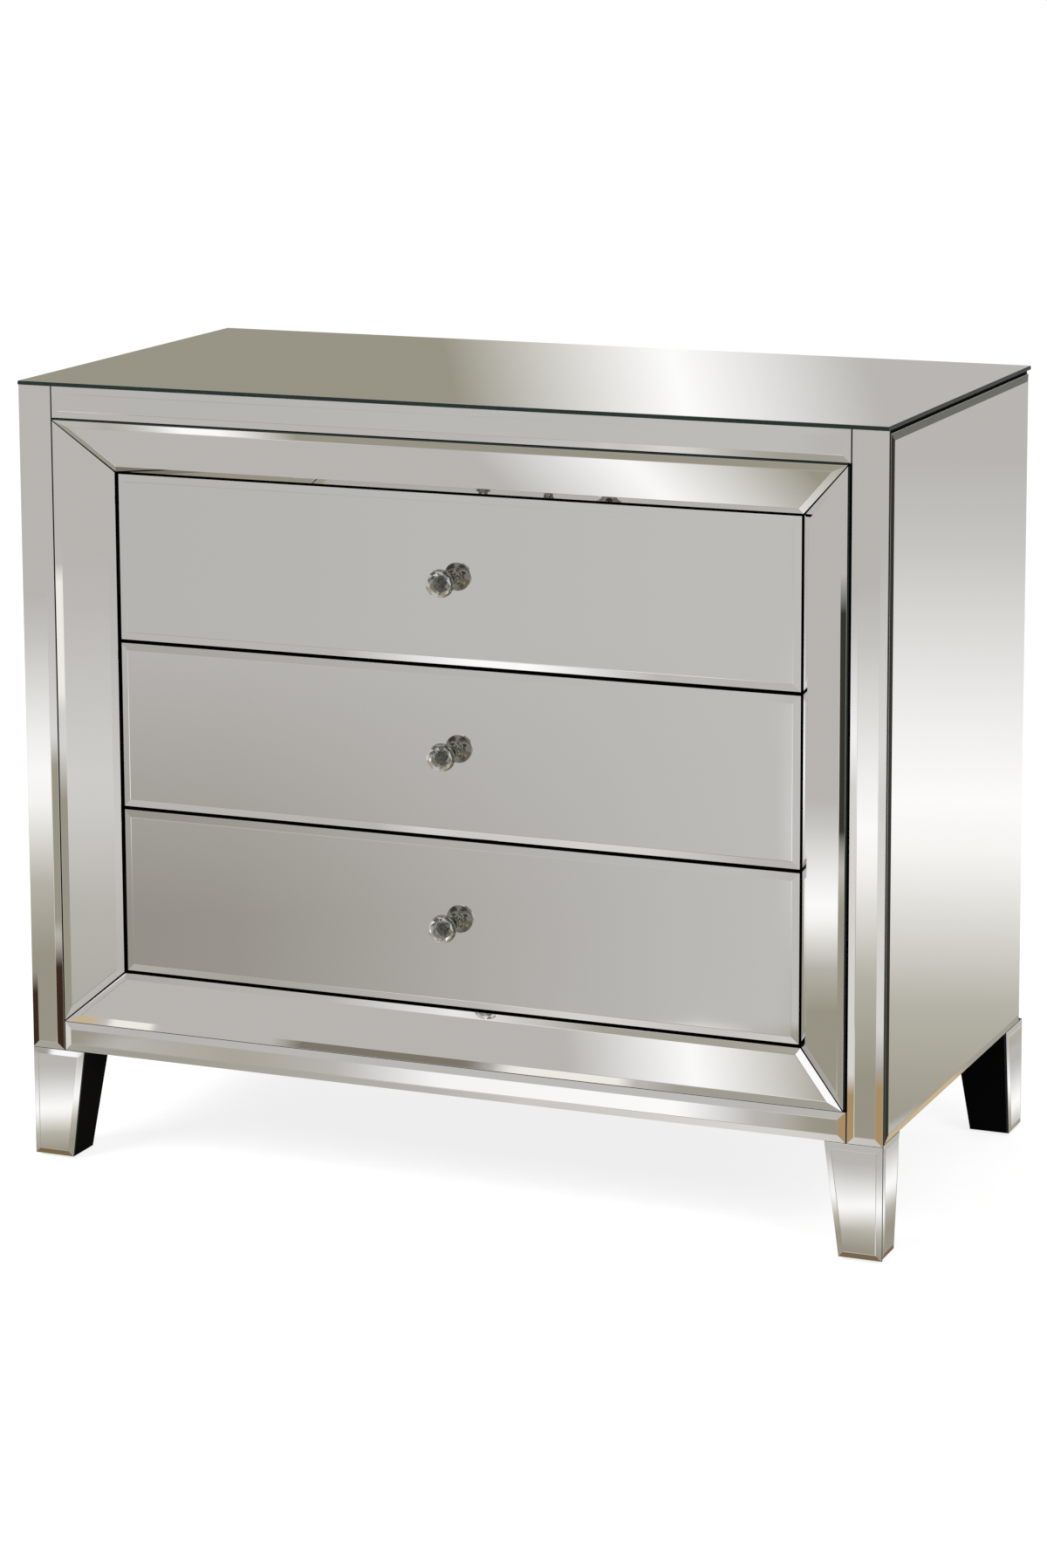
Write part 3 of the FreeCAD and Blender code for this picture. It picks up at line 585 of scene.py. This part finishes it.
class CHEST_OT_mirrors(bpy.types.Operator):
    """Replace every pane by eased, bevelled glass with silvered faces and green edges"""
    bl_idname = "chest.mirrors"
    bl_label = "Mirror panes"

    def execute(self, context):
        glass = context.scene.chest_glass
        materials = [silvered_glass(), ground_glass_edge(), backing_paint()]
        bevel = glass.bevel_width, glass.bevel_depth
        outlines = {name: [pane_corners(name, "front")]
                    for name in ("rail_mirror_top", "rail_mirror_bottom")}
        upright = {"stile": stile_corners(), "side": pane_corners("side_mirror_right", "right")}
        for kind, corners in upright.items():
            outlines[kind + "_mirror_right"] = [corners]
            outlines[kind + "_mirror_left"] = [mirrored(corners)]
        for side, corners in zip(("bottom", "right", "top", "left"), sloping_corners()):
            outlines["sloping_mirror_" + side] = [corners]
        for node, around in outlines.items():
            make_pane(node, around, "case", materials, *bevel)
        for node, around in foot_outlines().items():
            make_pane(node, around, "case", materials, glass.foot_bevel, glass.bevel_depth)
        make_pane("top_mirror", [pane_corners("top_mirror", "top")], "case", materials,
                  glass.top_arris, glass.top_arris)
        for number in DRAWERS:
            node = "drawer_%d_mirror" % number
            make_pane(node, [pane_corners(node, "front")], "drawer_%d" % number, materials, *bevel)
        return {"FINISHED"}


# ---------------------------------------------------------------- boards, feet and slides

class CHEST_OT_carcass(bpy.types.Operator):
    """Finish the boards, the face frame, the moulding, the posts and the rails"""
    bl_idname = "chest.carcass"
    bl_label = "Carcass"

    def execute(self, context):
        boards = context.scene.chest_boards
        finish(["top_board", "bottom_board", "side_board_right", "side_board_left", "face_frame",
                "sloping_moulding"], satin_lacquer())
        finish(["back_panel"], painted_hardboard())
        pine = boards.pine_light, boards.pine_dark
        posts = planed_wood("pine_upright", *pine, along="Z", ring=0.004, shine=0.55)
        finish(["rear_posts"], posts)
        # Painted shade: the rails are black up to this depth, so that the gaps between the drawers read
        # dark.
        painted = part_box("runner_rails")[0].y + boards.gap_shade_length
        rails = planed_wood("pine_rail", *pine, along="Y", ring=0.004, shine=0.55, painted=painted)
        finish(["runner_rails"], rails)
        return {"FINISHED"}


class CHEST_OT_feet(bpy.types.Operator):
    """Finish the tapered feet and their bolts, and round the glides"""
    bl_idname = "chest.feet"
    bl_label = "Feet"

    def execute(self, context):
        feet = ["foot_%s_%s" % (end, side) for end in ("front", "rear") for side in ("right", "left")]
        finish(feet, satin_lacquer())
        finish(["foot_bolts"], zinc_plate())
        self.make_glides()
        return {"FINISHED"}

    def make_glides(self):
        """Nylon discs: flat above and below, with a rounded lower rim."""
        low, high = low_high("foot_glides")
        radius = 0.012
        rim = 0.0012
        section = eased([(0, high[2]), (radius, high[2]), (radius, 0), (0, 0)], rim)
        centres = [(side * (high[0] - radius), y, 0.0) for side in (1, -1)
                   for y in (low[1] + radius, high[1] - radius)]
        parts = []
        for centre in centres:
            points, faces = turned_surface(section, centre, (0, 0, 1), count=48)
            parts.append((points, faces, np.zeros(len(faces), int)))
        points, faces, slots = joined(parts)
        piece = piece_from("nylon_glides", points, faces, [moulded_nylon()], slots,
                           crease=math.radians(50))
        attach(piece, "case")
        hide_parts("foot_glides")


class CHEST_OT_slides(bpy.types.Operator):
    """Finish the members of the telescopic slides"""
    bl_idname = "chest.slides"
    bl_label = "Slides"

    def execute(self, context):
        names = ["slide_case_members"]
        for number in DRAWERS:
            names += ["drawer_%d_slide_members" % number, "slide_%d_middle_members" % number]
        finish(names, zinc_plate())
        return {"FINISHED"}


# ---------------------------------------------------------------- drawers and knobs

class CHEST_OT_drawers(bpy.types.Operator):
    """Finish the drawer boxes"""
    bl_idname = "chest.drawers"
    bl_label = "Drawer boxes"

    def execute(self, context):
        boards = context.scene.chest_boards
        birch = boards.birch_light, boards.birch_dark
        sides = planed_wood("birch_side", *birch, along="Y", ring=0.006, shine=0.42)
        across = planed_wood("birch_back", *birch, along="X", ring=0.006, shine=0.42)
        lacquer = satin_lacquer()
        for number in DRAWERS:
            prefix = "drawer_%d_" % number
            finish([prefix + "front"], lacquer)
            finish([prefix + "sides"], sides)
            finish([prefix + "back", prefix + "bottom"], across)
            finish([prefix + "knob_screw"], zinc_plate())
        return {"FINISHED"}


# Rings of the crystal from its seat to its table: share of the girdle's radius, share of the height,
# and turn as a share of a facet.
CRYSTAL_SIDES = 10
CRYSTAL_RINGS = [(0.55, 0, 0), (0.86, 0.16, 0.5), (1.0, 0.32, 0), (1.0, 0.4, 0), (0.92, 0.62, 0.5),
                 (0.75, 0.82, 0), (0.53, 0.95, 0.5), (0.36, 1.0, 0)]


class CHEST_OT_knobs(bpy.types.Operator):
    """Turn the chrome bases and polish the crystals"""
    bl_idname = "chest.knobs"
    bl_label = "Knobs"

    def execute(self, context):
        chrome, crystal = chrome_plate(), cut_crystal()
        for number in DRAWERS:
            node = "drawer_%d_knob_base" % number
            low, high = low_high(node)
            centre = ((low[0] + high[0]) / 2, high[1], (low[2] + high[2]) / 2)
            section = self.base_section((high[0] - low[0]) / 2, high[1] - low[1])
            surface = turned_surface(section, centre, (0, -1, 0), count=96)
            piece = piece_from("knob_base_%d_chrome" % number, *surface, [chrome],
                               crease=math.radians(40))
            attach(piece, "drawer_%d" % number)
            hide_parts(node)
            self.make_crystal(number, crystal)
        return {"FINISHED"}

    def make_crystal(self, number, crystal):
        """Crystal ball cut in rings of ten corners, each ring turned by half a facet or not at all.

        Corner k of a ring lies at angle (k + turn) 2 pi / 10, at the ring's share of the girdle's
        radius and of the height from seat to table. Two rings with unlike turns are joined by
        flat triangles, and two with like turns by flat quads."""
        node = "drawer_%d_knob_crystal" % number
        low, high = low_high(node)
        share, rise, turn = np.array(CRYSTAL_RINGS).T
        radius = share * bpy.context.scene.chest_knobs.crystal_radius
        corner = np.arange(CRYSTAL_SIDES)
        angles = 2 * math.pi * (corner[None] + turn[:, None]) / CRYSTAL_SIDES
        x = (low[0] + high[0]) / 2 + radius[:, None] * np.cos(angles)
        z = (low[2] + high[2]) / 2 + radius[:, None] * np.sin(angles)
        y = np.broadcast_to((high[1] - rise * (high[1] - low[1]))[:, None], x.shape)
        faces = [corner.tolist(), (corner[::-1] + (len(turn) - 1) * CRYSTAL_SIDES).tolist()]
        for row in range(len(turn) - 1):
            here = row * CRYSTAL_SIDES + corner
            beside = row * CRYSTAL_SIDES + (corner + 1) % CRYSTAL_SIDES
            up, up_beside = here + CRYSTAL_SIDES, beside + CRYSTAL_SIDES
            if turn[row] == turn[row + 1]:
                faces += np.stack([here, up, up_beside, beside], 1).tolist()
            elif turn[row] < turn[row + 1]:
                faces += np.stack([here, up, beside], 1).tolist()
                faces += np.stack([beside, up, up_beside], 1).tolist()
            else:
                faces += np.stack([here, up, up_beside], 1).tolist()
                faces += np.stack([here, up_beside, beside], 1).tolist()
        piece = piece_from("knob_crystal_%d" % number, np.stack([x, y, z], -1).reshape(-1, 3), faces,
                           [crystal])
        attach(piece, "drawer_%d" % number)
        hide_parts(node)

    def base_section(self, rim_radius, reach):
        """Bore, foot, neck, then an arc through the flare point to the rim, and the flat seat."""
        knob = bpy.context.scene.chest_knobs
        stem = eased([(0, knob.bore_depth), (knob.bore_radius, knob.bore_depth), (knob.bore_radius, 0),
                      (knob.foot_radius, 0), (knob.foot_radius, knob.foot_thickness),
                      (knob.neck_radius, knob.foot_thickness), (knob.neck_radius, knob.neck_end)],
                     knob.easing)
        rim_back = rim_radius, reach - knob.rim_thickness
        trumpet = arc_through((knob.neck_radius, knob.neck_end), (knob.flare_radius, knob.flare_reach),
                              rim_back, count=28)
        rim = eased([trumpet[-2], rim_back, (rim_radius, reach), (knob.recess_radius, reach)],
                    knob.easing)
        floor = reach - knob.recess_depth
        recess = [(knob.recess_radius, reach), (knob.recess_radius, floor)]
        return np.concatenate([stem, trumpet[:-1], rim, recess])


# ---------------------------------------------------------------- stage

def floor_material():
    """Pale seamless paper: white to the camera, apart from the soft shadow it keeps.

    To the camera the paper's own colour is dimmed to a share and a glow makes up the rest."""
    stage = bpy.context.scene.chest_stage
    made, tree, place = new_material("seamless_paper")
    seen = add(tree, "LightPath").outputs["Is Camera Ray"]
    # The pulp lies in clouds 25 mm across.
    pulp = add(tree, "TexNoise", {"Vector": place, "Scale": 40.0, "Detail": 3.0})
    tone = add(tree, "ValToRGB", [pulp], [(0.3, stage.floor), (0.7, PURE_WHITE)])
    share = add(tree, "MapRange", {0: seen, 3: 1.0, 4: stage.shadow})
    dimmed = add(tree, "VectorMath", {0: tone, "Scale": share}, operation="SCALE")
    paper = add(tree, "BsdfDiffuse", [dimmed])
    strength = add(tree, "Math", [seen, stage.glow], operation="MULTIPLY")
    glow = add(tree, "Emission", [PURE_WHITE, strength])
    both = add(tree, "AddShader", [paper, glow])
    add(tree, "OutputMaterial", [both])
    return made


# Tones of the studio as a mirror meets them.
WHITE, CREAM, SILVER, GREY = "#FFFFFE", "#F0EEE6", "#D8D6D2", "#BAB8B4"
ASH, OLIVE, DIM, SAND, TAN = "#A29F95", "#9A9687", "#7D776B", "#C9B48F", "#AB9067"
BROWN, UMBER, SHADE, DUSK, SLATE = "#7A684D", "#3A281C", "#35352D", "#4E4E4A", "#5E5D57"
BUFF, LEAD = "#E8D2A4", "#6E6F69"

# Azimuths run clockwise in degrees from behind the chest. The sweep's white band stands at this
# elevation and fades to grey above and olive below over this reach, at this strength; the last
# value is the elevation at which the floor in front of the feet begins.
SWEEP = [
    (0, -13.1, 4.5, 1.0, -17.0), (15.5, -13.1, 4.5, 1.0, -15.9), (18, -13.1, 4.5, 1.0, -17.7),
    (60, -13.1, 4.5, 1.0, -17.7), (120, -13.2, 3.0, 0.2, -17.7), (176, -12.2, 2.8, 0.4, -17.7),
    (180, -13.5, 3.2, 0.6, -19.0), (184, -13.5, 3.2, 0.6, -19.6), (194, -13.5, 3.25, 1.0, -17.7),
    (199, -13.5, 3.25, 1.0, -17.65), (206, -12.7, 2.35, 1.0, -16.3), (212, -12.7, 2.35, 1.0, -16.3),
    (222, -12.7, 2.35, 1.0, -20.4), (227, -12.7, 2.35, 1.0, -20.4), (231, -12.7, 2.35, 1.0, -16.3),
    (246, -12.7, 2.35, 1.0, -16.3), (256, -14.5, 1.4, 1.0, -17.7), (264, -14.5, 1.4, 1.0, -17.7),
    (276, -12.9, 1.1, 1.0, -17.7), (284, -12.9, 1.1, 1.0, -17.7), (310, -13.1, 4.5, 1.0, -17.0),
    (360, -13.1, 4.5, 1.0, -17.0)]
# A ramp holds values from 0 to 1, so each of the four is stored as a share of its scale.
SWEEP_SCALES = (-20.0, 10.0, 1.0, -30.0)

# Tones from the white band's middle, in reaches, and the tones of the floor by elevation.
BAND = [(-1.5, OLIVE), (-1.0, OLIVE), (-0.6, "#B7B4A9"), (-0.15, "#F8F8F5"), (0.0, WHITE),
        (0.2, "#F4F4F2"), (0.75, "#C8C7C3"), (1.0, GREY), (1.5, GREY)]
FLOOR = [(-90, DIM), (-62, DIM), (-50, ASH), (-20, OLIVE)]

# The floor in front has a band too, narrower and lower: a place in the band above, times and plus
# these, is in degrees from the floor's far edge. Below it the floor's own tones fade in.
NEAR_WIDTH, NEAR_DROP = 0.55, -0.75
NEAR_ENDS, NEAR_FADE, FAR_EDGE = (-1.7, 0.2), (-2.0, -3.5), (-0.05, 0.05)

# Cards hung round the chest: azimuth, elevation, half width, half height, tone, and how soft the
# edge is as a share of the half size, where it isn't CARD_EDGE.
CARD_EDGE, SOFT = 0.15, 0.7
CARDS = [
    # The dark ceiling and drapes, with white flags between them, and the cloths of the floor.
    (90, 80, 270, 19, DUSK), (-104, 66, 16, 14, DUSK), (128, 38, 34, 24, SLATE),
    (-106, 33, 20, 24, SLATE), (180, 36, 15, 21, SLATE), (-131, 27, 7, 13, SLATE),
    (150, 24, 4, 9, WHITE), (-112.4, 44.4, 3, 2, GREY), (-60, 35, 9, 12, WHITE),
    (62, 35, 9, 12, WHITE), (-96, 30, 3, 10, WHITE), (98, -3, 22, 16, DIM),
    (93, -53, 8, 6, BUFF), (134, -49, 12, 6.5, BUFF), (-139, -54, 3, 2, BROWN),
    (7.2, -24.8, 0.8, 0.6, BROWN), (-115, -62, 45, 14, GREY), (-83.5, -66, 7, 5, ASH),
    (-85.8, -51.6, 4, 1.5, ASH), (-136, -79.5, 5, 3, OLIVE), (-81.1, -25.5, 3, 1.5, DIM),
    (132.7, -32.1, 4, 2, GREY),
    # Low in front: a grey cloth, its olive and brown folds, and the edges of pale flags.
    (-152, -30, 13, 7.5, GREY), (-147, -34.6, 2.8, 0.9, ASH, SOFT), (-149, -42.7, 9, 5, OLIVE),
    (-142.8, -39.8, 0.9, 0.9, BROWN), (-156.1, -43.7, 0.8, 0.8, BROWN),
    (-156.8, -27.8, 0.8, 1.5, SILVER, SOFT), (-158.7, -28.2, 1.1, 1.3, ASH, SOFT),
    (-153.6, -30.5, 1.4, 1.7, WHITE, SOFT), (-154.8, -33.2, 1.3, 1.3, SILVER, SOFT),
    (-154.1, -35.2, 1.1, 0.9, SILVER, SOFT), (-156, -36.9, 2.8, 1.0, SILVER, SOFT),
    (-142.1, -43.0, 0.9, 1.3, WHITE, SOFT), (-139.9, -42.4, 1.0, 2.0, GREY, SOFT),
    # Beside the sweep: its pale ends, with warm and dark skirts under them. The last card, dark, is
    # painted shade: the side panes' near bevels meet it, so that the corner by each stile reads dark.
    (176.7, -14.8, 0.8, 1.6, SILVER), (176.8, -17.75, 1.1, 1.0, TAN),
    (-140.6, -14.9, 1.4, 2.3, SILVER), (-140.6, -17.85, 1.4, 1.0, TAN),
    (-172.1, -13.6, 2.5, 1.2, OLIVE), (-172.1, -16.4, 2.5, 1.4, UMBER),
    (-129.3, -16.3, 0.4, 0.9, UMBER), (-130, -16.1, 0.25, 0.3, SILVER),
    (-121.1, -12.1, 1.2, 1.7, SHADE), (-121.1, -16, 1.2, 1.6, OLIVE),
    (168.4, -10.9, 1.5, 0.85, CREAM), (168.4, -14.9, 1.5, 2.2, OLIVE),
    (8, -21.9, 3.6, 1.5, ASH), (10.2, -22.4, 1.2, 0.9, SAND),
    (18.6, -1.4, 1.8, 0.8, LEAD), (38.9, -12.8, 1.7, 6.0, SHADE),
    # Overhead: the white flag and the dark and pale slats before it.
    (-172.2, 62.8, 4, 3, WHITE), (-153.7, 25.7, 1.4, 1.5, DIM), (-156.3, 26.1, 0.9, 1.5, CREAM),
    (-149.4, 24.9, 0.2, 1.5, SAND), (-150.1, 25, 0.3, 1.5, CREAM), (-159.3, 26.6, 1.6, 1.5, ASH),
    (-152.1, 6.8, 0.2, 0.4, WHITE)]

# White strips with an olive flank on their left, each along a great circle: azimuth at the horizon,
# lean, half width as a sine, and the elevations between which the strip fades in.
STRIPS = [(-22.5, 14, 0.045, 0, 4), (-177.5, 23.1, 0.03, 30, 34), (97.5, 14, 0.05, 20, 24),
          (-130.3, 0, 0.026, -48, -54)]
CLEAR_OLIVE, CLEAR_GREY = ((*linear(tone)[:3], 0.0) for tone in (OLIVE, GREY))
STRIP_TONES = [(-8.0, CLEAR_OLIVE), (-4.8, OLIVE), (-1.12, OLIVE), (0.0, WHITE), (0.96, GREY),
               (3.2, CLEAR_GREY)]
STRIP_REACH = 8

# The pale card that the drawers face, by azimuth: its presence, the share of its olive shade
# towards the floor, and the strip below it that the bottom rail meets, from ash to white.
DRAWER_CARD = [
    (170, 0, 0, 0), (177.3, 0, 0, 0), (177.6, 1, 0, 0), (179, 1, 0, 0), (179.3, 0, 0, 0),
    (198.6, 0, 0, 0), (199.1, 1, 0, 0.45), (200.6, 1, 0.1, 1), (203.9, 1, 0.5, 0.95),
    (205.5, 1, 0.75, 0.55), (206.6, 1, 0.9, 0.25), (208.4, 1, 1, 0.6), (208.7, 0, 1, 0.6),
    (228, 0, 1, 0), (228.4, 1, 1, 0), (229.6, 1, 1, 0), (229.9, 0, 1, 0), (240, 0, 1, 0)]
CARD_TONE, CARD_SHADE = "#C0BFBC", "#96928A"
STRIP_BELOW = [(0, "#A09C90"), (0.35, "#B0ACA2"), (0.6, GREY), (1, WHITE)]

# Elevations between which its top, its foot, the strip's top and its shade fade, the last from a
# share that the whole card has. The upper bevels look higher by a lift and meet the same shade.
CARD_TOP, CARD_FOOT, STRIP_TOP = (14.0, 12.5), (-17.7, -17.5), (-16.05, -16.2)
CARD_FALL = (-11.0, -14.6, 0.2)
UPPER_BEVELS, BEVEL_LIFT = 4.5, 20.5


def toned(tree, place, low, high, stops):
    """Tones along a value: it is spread from low to high over stops of (value, tone)."""
    spread = add(tree, "MapRange", {0: place, 1: float(low), 2: float(high)})
    return add(tree, "ValToRGB", [spread], [
        ((at - low) / (high - low), linear(tone) if isinstance(tone, str) else tone)
        for at, tone in stops])


def sweep_tones(tree, azimuth, elevation):
    """The white band of the sweep above the floor, and the floor with a narrower band of its own."""
    stored = [(at, [value / scale for value, scale in zip(values, SWEEP_SCALES)])
              for at, *values in SWEEP]
    shares = toned(tree, azimuth, 0, 360, stored)
    parts = add(tree, "SeparateColor", [shares]).outputs
    middle = add(tree, "Math", [parts[0], SWEEP_SCALES[0]], operation="MULTIPLY")
    reach = add(tree, "Math", [parts[1], SWEEP_SCALES[1]], operation="MULTIPLY")
    ground = add(tree, "Math", [shares.outputs["Alpha"], SWEEP_SCALES[3]], operation="MULTIPLY")
    offset = add(tree, "Math", [elevation, middle], operation="SUBTRACT")
    reaches = add(tree, "Math", [offset, reach], operation="DIVIDE")
    band = toned(tree, reaches, BAND[0][0], BAND[-1][0], BAND)
    above = add(tree, "MixRGB", [parts[2], linear(GREY), band])
    drop = add(tree, "Math", [elevation, ground], operation="SUBTRACT")
    near_band = [(NEAR_WIDTH * at + NEAR_DROP, tone) for at, tone in BAND]
    near = toned(tree, drop, *NEAR_ENDS, near_band)
    floor = toned(tree, elevation, FLOOR[0][0], FLOOR[-1][0], FLOOR)
    deep = add(tree, "MapRange", [drop, *NEAR_FADE])
    below = add(tree, "MixRGB", [deep, near, floor])
    is_above = add(tree, "MapRange", [drop, *FAR_EDGE])
    return add(tree, "MixRGB", [is_above, below, above])


def drawer_card(tree, azimuth, elevation, seen):
    """Lays the drawers' card over the tones: grey above, olive low on the left, a strip below."""
    stored = [(at, (*shares, 1.0)) for at, *shares in DRAWER_CARD]
    card = toned(tree, azimuth, DRAWER_CARD[0][0], DRAWER_CARD[-1][0], stored)
    parts = add(tree, "SeparateColor", [card]).outputs
    lifted = add(tree, "Math", [elevation, BEVEL_LIFT], operation="SUBTRACT")
    is_high = add(tree, "Math", [elevation, UPPER_BEVELS], operation="GREATER_THAN")
    height = add(tree, "Mix", {0: is_high, 2: elevation, 3: lifted})
    low = add(tree, "MapRange", [height, *CARD_FALL])
    shade_share = add(tree, "Math", [low, parts[1]], operation="MULTIPLY")
    tone = add(tree, "MixRGB", [shade_share, linear(CARD_TONE), linear(CARD_SHADE)])
    strip = toned(tree, parts[2], 0, 1, STRIP_BELOW)
    is_strip = add(tree, "MapRange", [elevation, *STRIP_TOP])
    both = add(tree, "MixRGB", [is_strip, tone, strip])
    top = add(tree, "MapRange", [elevation, *CARD_TOP])
    bottom = add(tree, "MapRange", [elevation, *CARD_FOOT])
    within = add(tree, "Math", [top, bottom], operation="MULTIPLY")
    share = add(tree, "Math", [within, parts[0]], operation="MULTIPLY")
    return add(tree, "MixRGB", [share, seen, both])


def hang_card(tree, angles, seen, azimuth, elevation, half_width, half_height, tone, soft=CARD_EDGE):
    """Lays one soft-edged card over the tones seen so far."""
    scale = (1 / half_width, 1 / half_height, 0)
    place = (-(azimuth % 360) / half_width, -elevation / half_height, 0)
    local = add(tree, "Mapping", {"Vector": angles, "Location": place, "Scale": scale})
    spans = add(tree, "VectorMath", [local], operation="ABSOLUTE")
    sides = add(tree, "SeparateXYZ", [spans]).outputs
    furthest = add(tree, "Math", [sides[0], sides[1]], operation="MAXIMUM")
    edge = add(tree, "MapRange", [furthest, 1 + soft, 1 - soft])
    return add(tree, "MixRGB", [edge, seen, linear(tone)])


def lay_strip(tree, direction, elevation, seen, azimuth, lean, half_width, fade_from, fade_to):
    """Lays one white strip with its flanks over the tones seen so far."""
    phi, tilt = math.radians(azimuth), math.radians(lean)
    across = (math.cos(phi) * math.cos(tilt), -math.sin(phi) * math.cos(tilt), -math.sin(tilt))
    offset = add(tree, "VectorMath", [direction, across], operation="DOT_PRODUCT")
    widths = add(tree, "Math", [offset.outputs["Value"], half_width], operation="DIVIDE")
    tones = toned(tree, widths, -STRIP_REACH, STRIP_REACH, STRIP_TONES)
    there = add(tree, "MapRange", [elevation, float(fade_from), float(fade_to)])
    share = add(tree, "Math", [there, tones.outputs["Alpha"]], operation="MULTIPLY")
    return add(tree, "MixRGB", [share, seen, tones])


def studio_surround(tree):
    """Colour that a reflected or refracted ray meets, by its azimuth and elevation in degrees."""
    direction = add(tree, "TexCoord").outputs["Generated"]
    axes = add(tree, "SeparateXYZ", [direction]).outputs
    around = add(tree, "Math", [axes[0], axes[1]], operation="ARCTAN2")
    turn = add(tree, "Math", [around], operation="DEGREES")
    azimuth = add(tree, "Math", [turn, 360.0], operation="FLOORED_MODULO")
    height = add(tree, "Math", [axes[2]], operation="ARCSINE")
    elevation = add(tree, "Math", [height], operation="DEGREES")
    seen = drawer_card(tree, azimuth, elevation, sweep_tones(tree, azimuth, elevation))
    angles = add(tree, "CombineXYZ", [azimuth, elevation])
    for card in CARDS:
        seen = hang_card(tree, angles, seen, *card)
    for strip in STRIPS:
        seen = lay_strip(tree, direction, elevation, seen, *strip)
    return seen


def make_world():
    """White to the camera, plain soft light for dull surfaces, and the surround for shiny ones."""
    stage = bpy.context.scene.chest_stage
    world = bpy.data.worlds.new("studio")
    world.use_nodes = True
    tree = world.node_tree
    tree.nodes.clear()
    rays = add(tree, "LightPath").outputs
    shiny = add(tree, "Math", [rays["Is Glossy Ray"], rays["Is Transmission Ray"]],
                operation="MAXIMUM")
    soft = add(tree, "Background", [PURE_WHITE, stage.ambient])
    plain = add(tree, "Background", [PURE_WHITE, 1.0])
    surround = add(tree, "Background", [studio_surround(tree), 1.0])
    seen = add(tree, "MixShader", [rays["Is Camera Ray"], soft, plain])
    whole = add(tree, "MixShader", [shiny, seen, surround])
    add(tree, "OutputWorld", [whole])
    bpy.context.scene.world = world


# Places of the two soft lamps, the side of each, and the place they aim at.
LAMPS = {"key": (-2.2, -3.0, 3.0), "fill": (3.2, -1.8, 2.2)}
LAMP_SIDE = 2.0
LAMP_AIM = (0, 0, 0.4)


def make_lamp(name, place, power):
    """Square soft lamp, kept out of reflections, which the surround stands for."""
    data = bpy.data.lights.new(name, "AREA")
    data.shape = "SQUARE"
    data.size = LAMP_SIDE
    data.energy = power
    lamp = bpy.data.objects.new(name, data)
    lamp.location = place
    lamp.rotation_euler = (Vector(LAMP_AIM) - Vector(place)).to_track_quat("-Z", "Y").to_euler()
    lamp.visible_glossy = False
    lamp.visible_transmission = False
    bpy.context.scene.collection.objects.link(lamp)


def make_camera():
    stage = bpy.context.scene.chest_stage
    yaw, pitch, roll = stage.yaw, stage.pitch, stage.roll
    forward = Vector((-math.sin(yaw) * math.cos(pitch), math.cos(yaw) * math.cos(pitch),
                      math.sin(pitch)))
    level = Vector((math.cos(yaw), math.sin(yaw), 0.0))
    upright = level.cross(forward)
    right = level * math.cos(roll) + upright * math.sin(roll)
    up = upright * math.cos(roll) - level * math.sin(roll)
    data = bpy.data.cameras.new("camera")
    data.lens = stage.lens
    data.sensor_width = 36.0
    data.shift_y = stage.shift
    data.clip_end = 200.0
    camera = bpy.data.objects.new("camera", data)
    turn = Matrix((right, up, -forward)).transposed().to_4x4()
    camera.matrix_world = Matrix.Translation(stage.camera) @ turn
    bpy.context.scene.collection.objects.link(camera)
    bpy.context.scene.camera = camera


class CHEST_OT_stage(bpy.types.Operator):
    """Lay the floor, hang the lamps, and set the surround and the camera"""
    bl_idname = "chest.stage"
    bl_label = "Stage"

    def execute(self, context):
        stage = context.scene.chest_stage
        half = stage.floor_size / 2
        corners = np.array([(-half, -half, 0), (half, -half, 0), (half, half, 0), (-half, half, 0)])
        floor = piece_from("floor", corners, [(0, 1, 2, 3)], [floor_material()])
        floor.visible_glossy = False
        floor.visible_transmission = False
        make_world()
        for name, place in LAMPS.items():
            make_lamp(name + "_lamp", place, getattr(stage, name))
        make_camera()
        context.scene.view_settings.view_transform = "Standard"
        return {"FINISHED"}


# ---------------------------------------------------------------- add-on

OPERATORS = [CHEST_OT_mirrors, CHEST_OT_carcass, CHEST_OT_feet, CHEST_OT_slides, CHEST_OT_drawers,
             CHEST_OT_knobs, CHEST_OT_stage]


class CHEST_PT_panel(bpy.types.Panel):
    """Pieces of the chest and their settings"""
    bl_idname = "CHEST_PT_panel"
    bl_label = "Mirrored chest"
    bl_space_type = "VIEW_3D"
    bl_region_type = "UI"
    bl_category = "Chest"

    def draw(self, context):
        for operator in OPERATORS:
            self.layout.operator(operator.bl_idname)
        for name, group in SETTINGS.items():
            box = self.layout.box()
            box.label(text=name.replace("_", " ").capitalize())
            for field in group.__annotations__:
                box.prop(getattr(context.scene, name), field)


def register():
    for group in [*SETTINGS.values(), *OPERATORS, CHEST_PT_panel]:
        bpy.utils.register_class(group)
    for name, group in SETTINGS.items():
        setattr(bpy.types.Scene, name, PointerProperty(type=group))


def unregister():
    for name in SETTINGS:
        delattr(bpy.types.Scene, name)
    for group in [CHEST_PT_panel, *reversed(OPERATORS), *SETTINGS.values()]:
        bpy.utils.unregister_class(group)


def main():
    register()
    for operator in OPERATORS:
        name = operator.bl_idname.split(".")[1]
        if getattr(bpy.ops.chest, name)() != {"FINISHED"}:
            raise RuntimeError("the operator %s did not finish" % operator.bl_idname)


if __name__ == "__main__":
    main()
